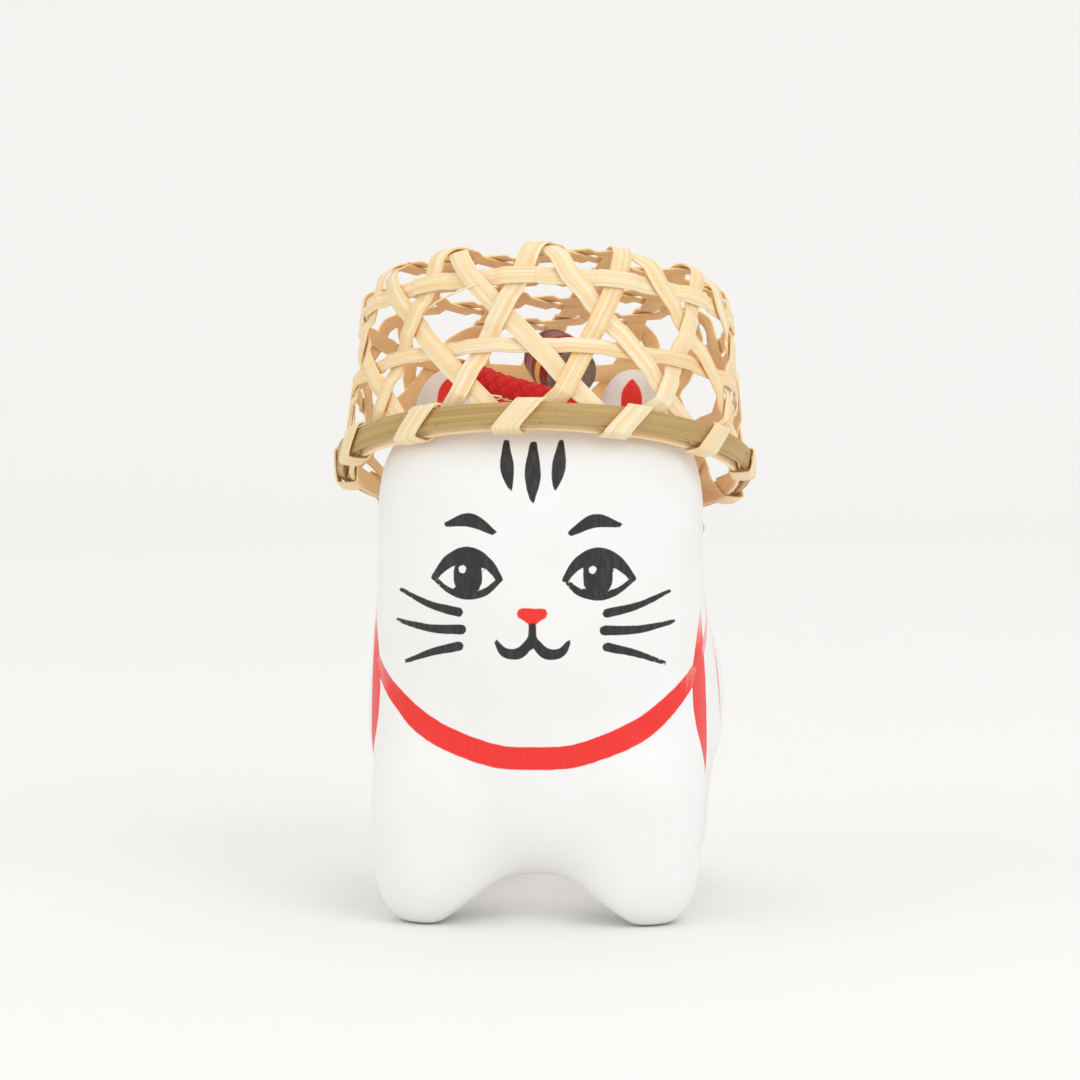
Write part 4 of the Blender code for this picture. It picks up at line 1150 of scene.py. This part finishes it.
def turned(outline, axis, sides, closed):
    # an outline of (radius, height) turned about an axis through the drum's middle
    axis = unit(np.array(axis))
    left = unit(np.cross(axis, drumSet["sideGuess"]))
    ring = circleOf(left, np.cross(axis, left), sides)
    reach, rise = np.array(outline).T[:, :, None, None]
    points = drumPlace + rise * axis + reach * ring
    return points.reshape(-1, 3), gridFaces(len(outline), sides, ringRows=closed, ringColumns=True)


def drumBarrelOutline():
    # barrel curve with five shallow turned grooves, then the bore
    half, edge = drumSet["length"] / 2, drumSet["radius"] - drumSet["edgeStep"]
    h = np.linspace(-half, half, drumSet["steps"])
    wave = np.abs(np.sin(drumSet["grooves"] / 2 * math.pi * (h / half + 1))) ** drumSet["grooveSharp"]
    swell = edge + drumSet["edgeStep"] * (1 - (h / half) ** 2) - drumSet["grooveDeep"] * wave
    bore = drumSet["radius"] - drumSet["wall"]
    return np.vstack((np.column_stack((swell, h)), ((bore, half), (bore, -half))))


def makeLacquer():
    made, tree, shader = newFinish("painted rings", 0.35, Coat_Weight=0.12, Coat_Roughness=0.2)
    place = objectPlace(tree)
    sway = math2(tree, "SUBTRACT", noise(tree, place, 900.0, 2.0), 0.5)
    along = math2(tree, "MULTIPLY_ADD", sway, 0.03, attribute(tree, "along"))
    ramp = add(tree, "ValToRGB", None, Fac=along)
    stops = ramp.color_ramp.elements
    ramp.color_ramp.interpolation = "CONSTANT"
    stops.remove(stops[1])
    for k, (at, color) in enumerate(drumSet["bands"]):
        stop = stops[0] if k == 0 else stops.new(at)
        stop.position = at
        stop.color = color
    wear = spread(tree, noise(tree, place, 500.0, 3.0), 0.55, 0.8, 0.0, 0.35)
    wire(tree, mixColor(tree, wear, ramp.outputs[0], drumSet["worn"]), shader, "Base Color")
    bumpTo(tree, shader, noise(tree, place, 1400.0, 2.0), 0.0001, 0.3)
    return made


def makeHide():
    made, tree, shader = newFinish("drum hide", 0.5)
    place = objectPlace(tree)
    grain = noise(tree, stretched(tree, place, (1.0, 0.35, 1.0)), 900.0, 4.0)
    color = mixColor(tree, spread(tree, grain, 0.3, 0.7), hideSet["dark"], hideSet["light"])
    wire(tree, color, shader, "Base Color")
    bumpTo(tree, shader, grain, 0.00012, 0.5)
    return made


def buildBarrel(lacquer):
    half, outline = drumSet["length"] / 2, drumBarrelOutline()
    points, quads = turned(outline, drumSet["axis"], drumSet["sides"], True)
    along = np.repeat(np.clip((outline[:, 1] + half) / (2 * half), 0, 1), drumSet["sides"])
    addPiece("drumBarrel", points, quads, lacquer, "drum", ["drum_barrel"], {"along": along})


def buildHides(hide):
    # a disc with a low dome inside a raised lip, on each end of the barrel
    edge, near = drumSet["radius"] - drumSet["edgeStep"], drumSet["length"] / 2 + drumSet["gap"]
    far, dip, bevel = near + hideSet["thick"], hideSet["dip"], hideSet["bevel"]
    r = np.linspace(0.0, edge - hideSet["lip"], hideSet["steps"])
    dome = far - dip + hideSet["dome"] * (1 - (r / edge) ** 2)
    rim = ((edge - dip, far), (edge, far - hideSet["shoulder"]), (edge, near + bevel), (edge - bevel, near))
    disc = np.vstack((np.column_stack((r, dome)), rim, ((0.0, near),)))
    for name, node, side in (("drumFrontHide", "drum_front_skin", 1), ("drumRearHide", "drum_rear_skin", -1)):
        points, quads = turned(disc * (1, side), drumSet["axis"], drumSet["sides"], False)
        addPiece(name, points, quads, hide, "drum", [node], weld=True)


def buildStick(finish):
    top, low, r, sides = stickSet["above"], -stickSet["below"], stickSet["radius"], stickSet["sides"]
    tip, topEdge, lowEdge = stickSet["tip"] * r, top - stickSet["topBevel"], low + stickSet["lowBevel"]
    stick = ((0.0, top), (tip, top), (r, topEdge), (r, lowEdge), (tip, low), (0.0, low))
    points, quads = turned(stick, stickUp, sides, False)
    across = np.tile(np.linspace(-1, 1, sides) * stickSet["grain"], len(stick))
    fibre = np.column_stack(((points - drumPlace) @ stickUp, across, np.full(len(points), stickSet["seed"])))
    grain = {"fibre": fibre, "innerSide": np.zeros(len(points))}
    addPiece("drumStick", points, quads, finish, "drum", ["drum_stick"], grain, weld=True)


buildBarrel(makeLacquer())
buildHides(makeHide())
buildStick(bambooPale)
print("drum turned")


# Floor, backdrop and soft light

catMiddle = (0.0, 0.0, 0.055)
studioSet = {
    "reach": 2.4, "wallAt": 0.75, "bend": 0.45, "wallTop": 1.8, "bendSteps": 24, "columns": 13,
    "tones": ((0.86, 0.855, 0.84, 1), (0.885, 0.88, 0.87, 1)), "world": 0.86,
    "lamps": (
        {
            "name": "window", "at": (0.75, -0.95, 1.05), "aim": catMiddle, "size": (1.1, 1.1),
            "power": 5.0, "color": (0.985, 0.99, 1.0),
        },
        {
            "name": "reflector", "at": (-1.0, -0.7, 0.7), "aim": catMiddle, "size": (1.2, 1.2),
            "power": 1.6, "color": (1.0, 0.93, 0.80),
        },
        {
            "name": "belly bounce", "at": (0.0, 0.002, 0.0066), "aim": (0.0, 0.002, 0.0),
            "size": (0.022, 0.076), "power": 0.0013, "color": (1.0, 0.97, 0.92),
        },
        {
            "name": "ceiling", "at": (0.0, 0.35, 1.4), "aim": catMiddle, "size": (1.4, 1.4),
            "power": 2.6, "color": (1.0, 1.0, 1.0),
        },
    ),
}


def buildFloor():
    # a floor that bends up into a backdrop: one profile drawn out sideways
    turn = np.linspace(0, math.pi / 2, studioSet["bendSteps"])
    wall, bend, columns = studioSet["wallAt"], studioSet["bend"], studioSet["columns"]
    profile = np.vstack((
        ((-studioSet["reach"], 0.0),),
        np.column_stack((wall + bend * np.sin(turn), bend * (1 - np.cos(turn)))),
        ((wall + bend, studioSet["wallTop"]),),
    ))
    x = np.linspace(-studioSet["reach"], studioSet["reach"], columns)
    points = np.column_stack((np.tile(x, len(profile)), np.repeat(profile, columns, axis=0)))
    data = bpy.data.meshes.new("paleFloor")
    data.from_pydata(points.tolist(), [], gridFaces(len(profile), columns).tolist())
    data.polygons.foreach_set("use_smooth", np.ones(len(data.polygons), dtype=bool))
    made, tree, shader = newFinish("pale paper floor", 0.9)
    tone = noise(tree, objectPlace(tree), 3.0, 2.0)
    wire(tree, mixColor(tree, tone, *studioSet["tones"]), shader, "Base Color")
    data.materials.append(made)
    floor = bpy.data.objects.new("paleFloor", data)
    bpy.context.scene.collection.objects.link(floor)


def lightStudio():
    world = bpy.data.worlds.new("soft room")
    world.use_nodes = True
    sky = world.node_tree.nodes["Background"]
    sky.inputs["Color"].default_value = (1.0, 1.0, 1.0, 1)
    sky.inputs["Strength"].default_value = studioSet["world"]
    bpy.context.scene.world = world
    for lamp in studioSet["lamps"]:
        data = bpy.data.lights.new(lamp["name"], "AREA")
        data.shape = "ELLIPSE"
        data.size, data.size_y = lamp["size"]
        data.energy = lamp["power"]
        data.color = lamp["color"]
        light = bpy.data.objects.new(lamp["name"], data)
        light.location = lamp["at"]
        light.visible_camera = False
        light.rotation_euler = (Vector(lamp["aim"]) - Vector(lamp["at"])).to_track_quat("-Z", "Y").to_euler()
        bpy.context.scene.collection.objects.link(light)


buildFloor()
lightStudio()
bpy.context.scene.view_settings.view_transform = "Standard"

print("all pieces made")
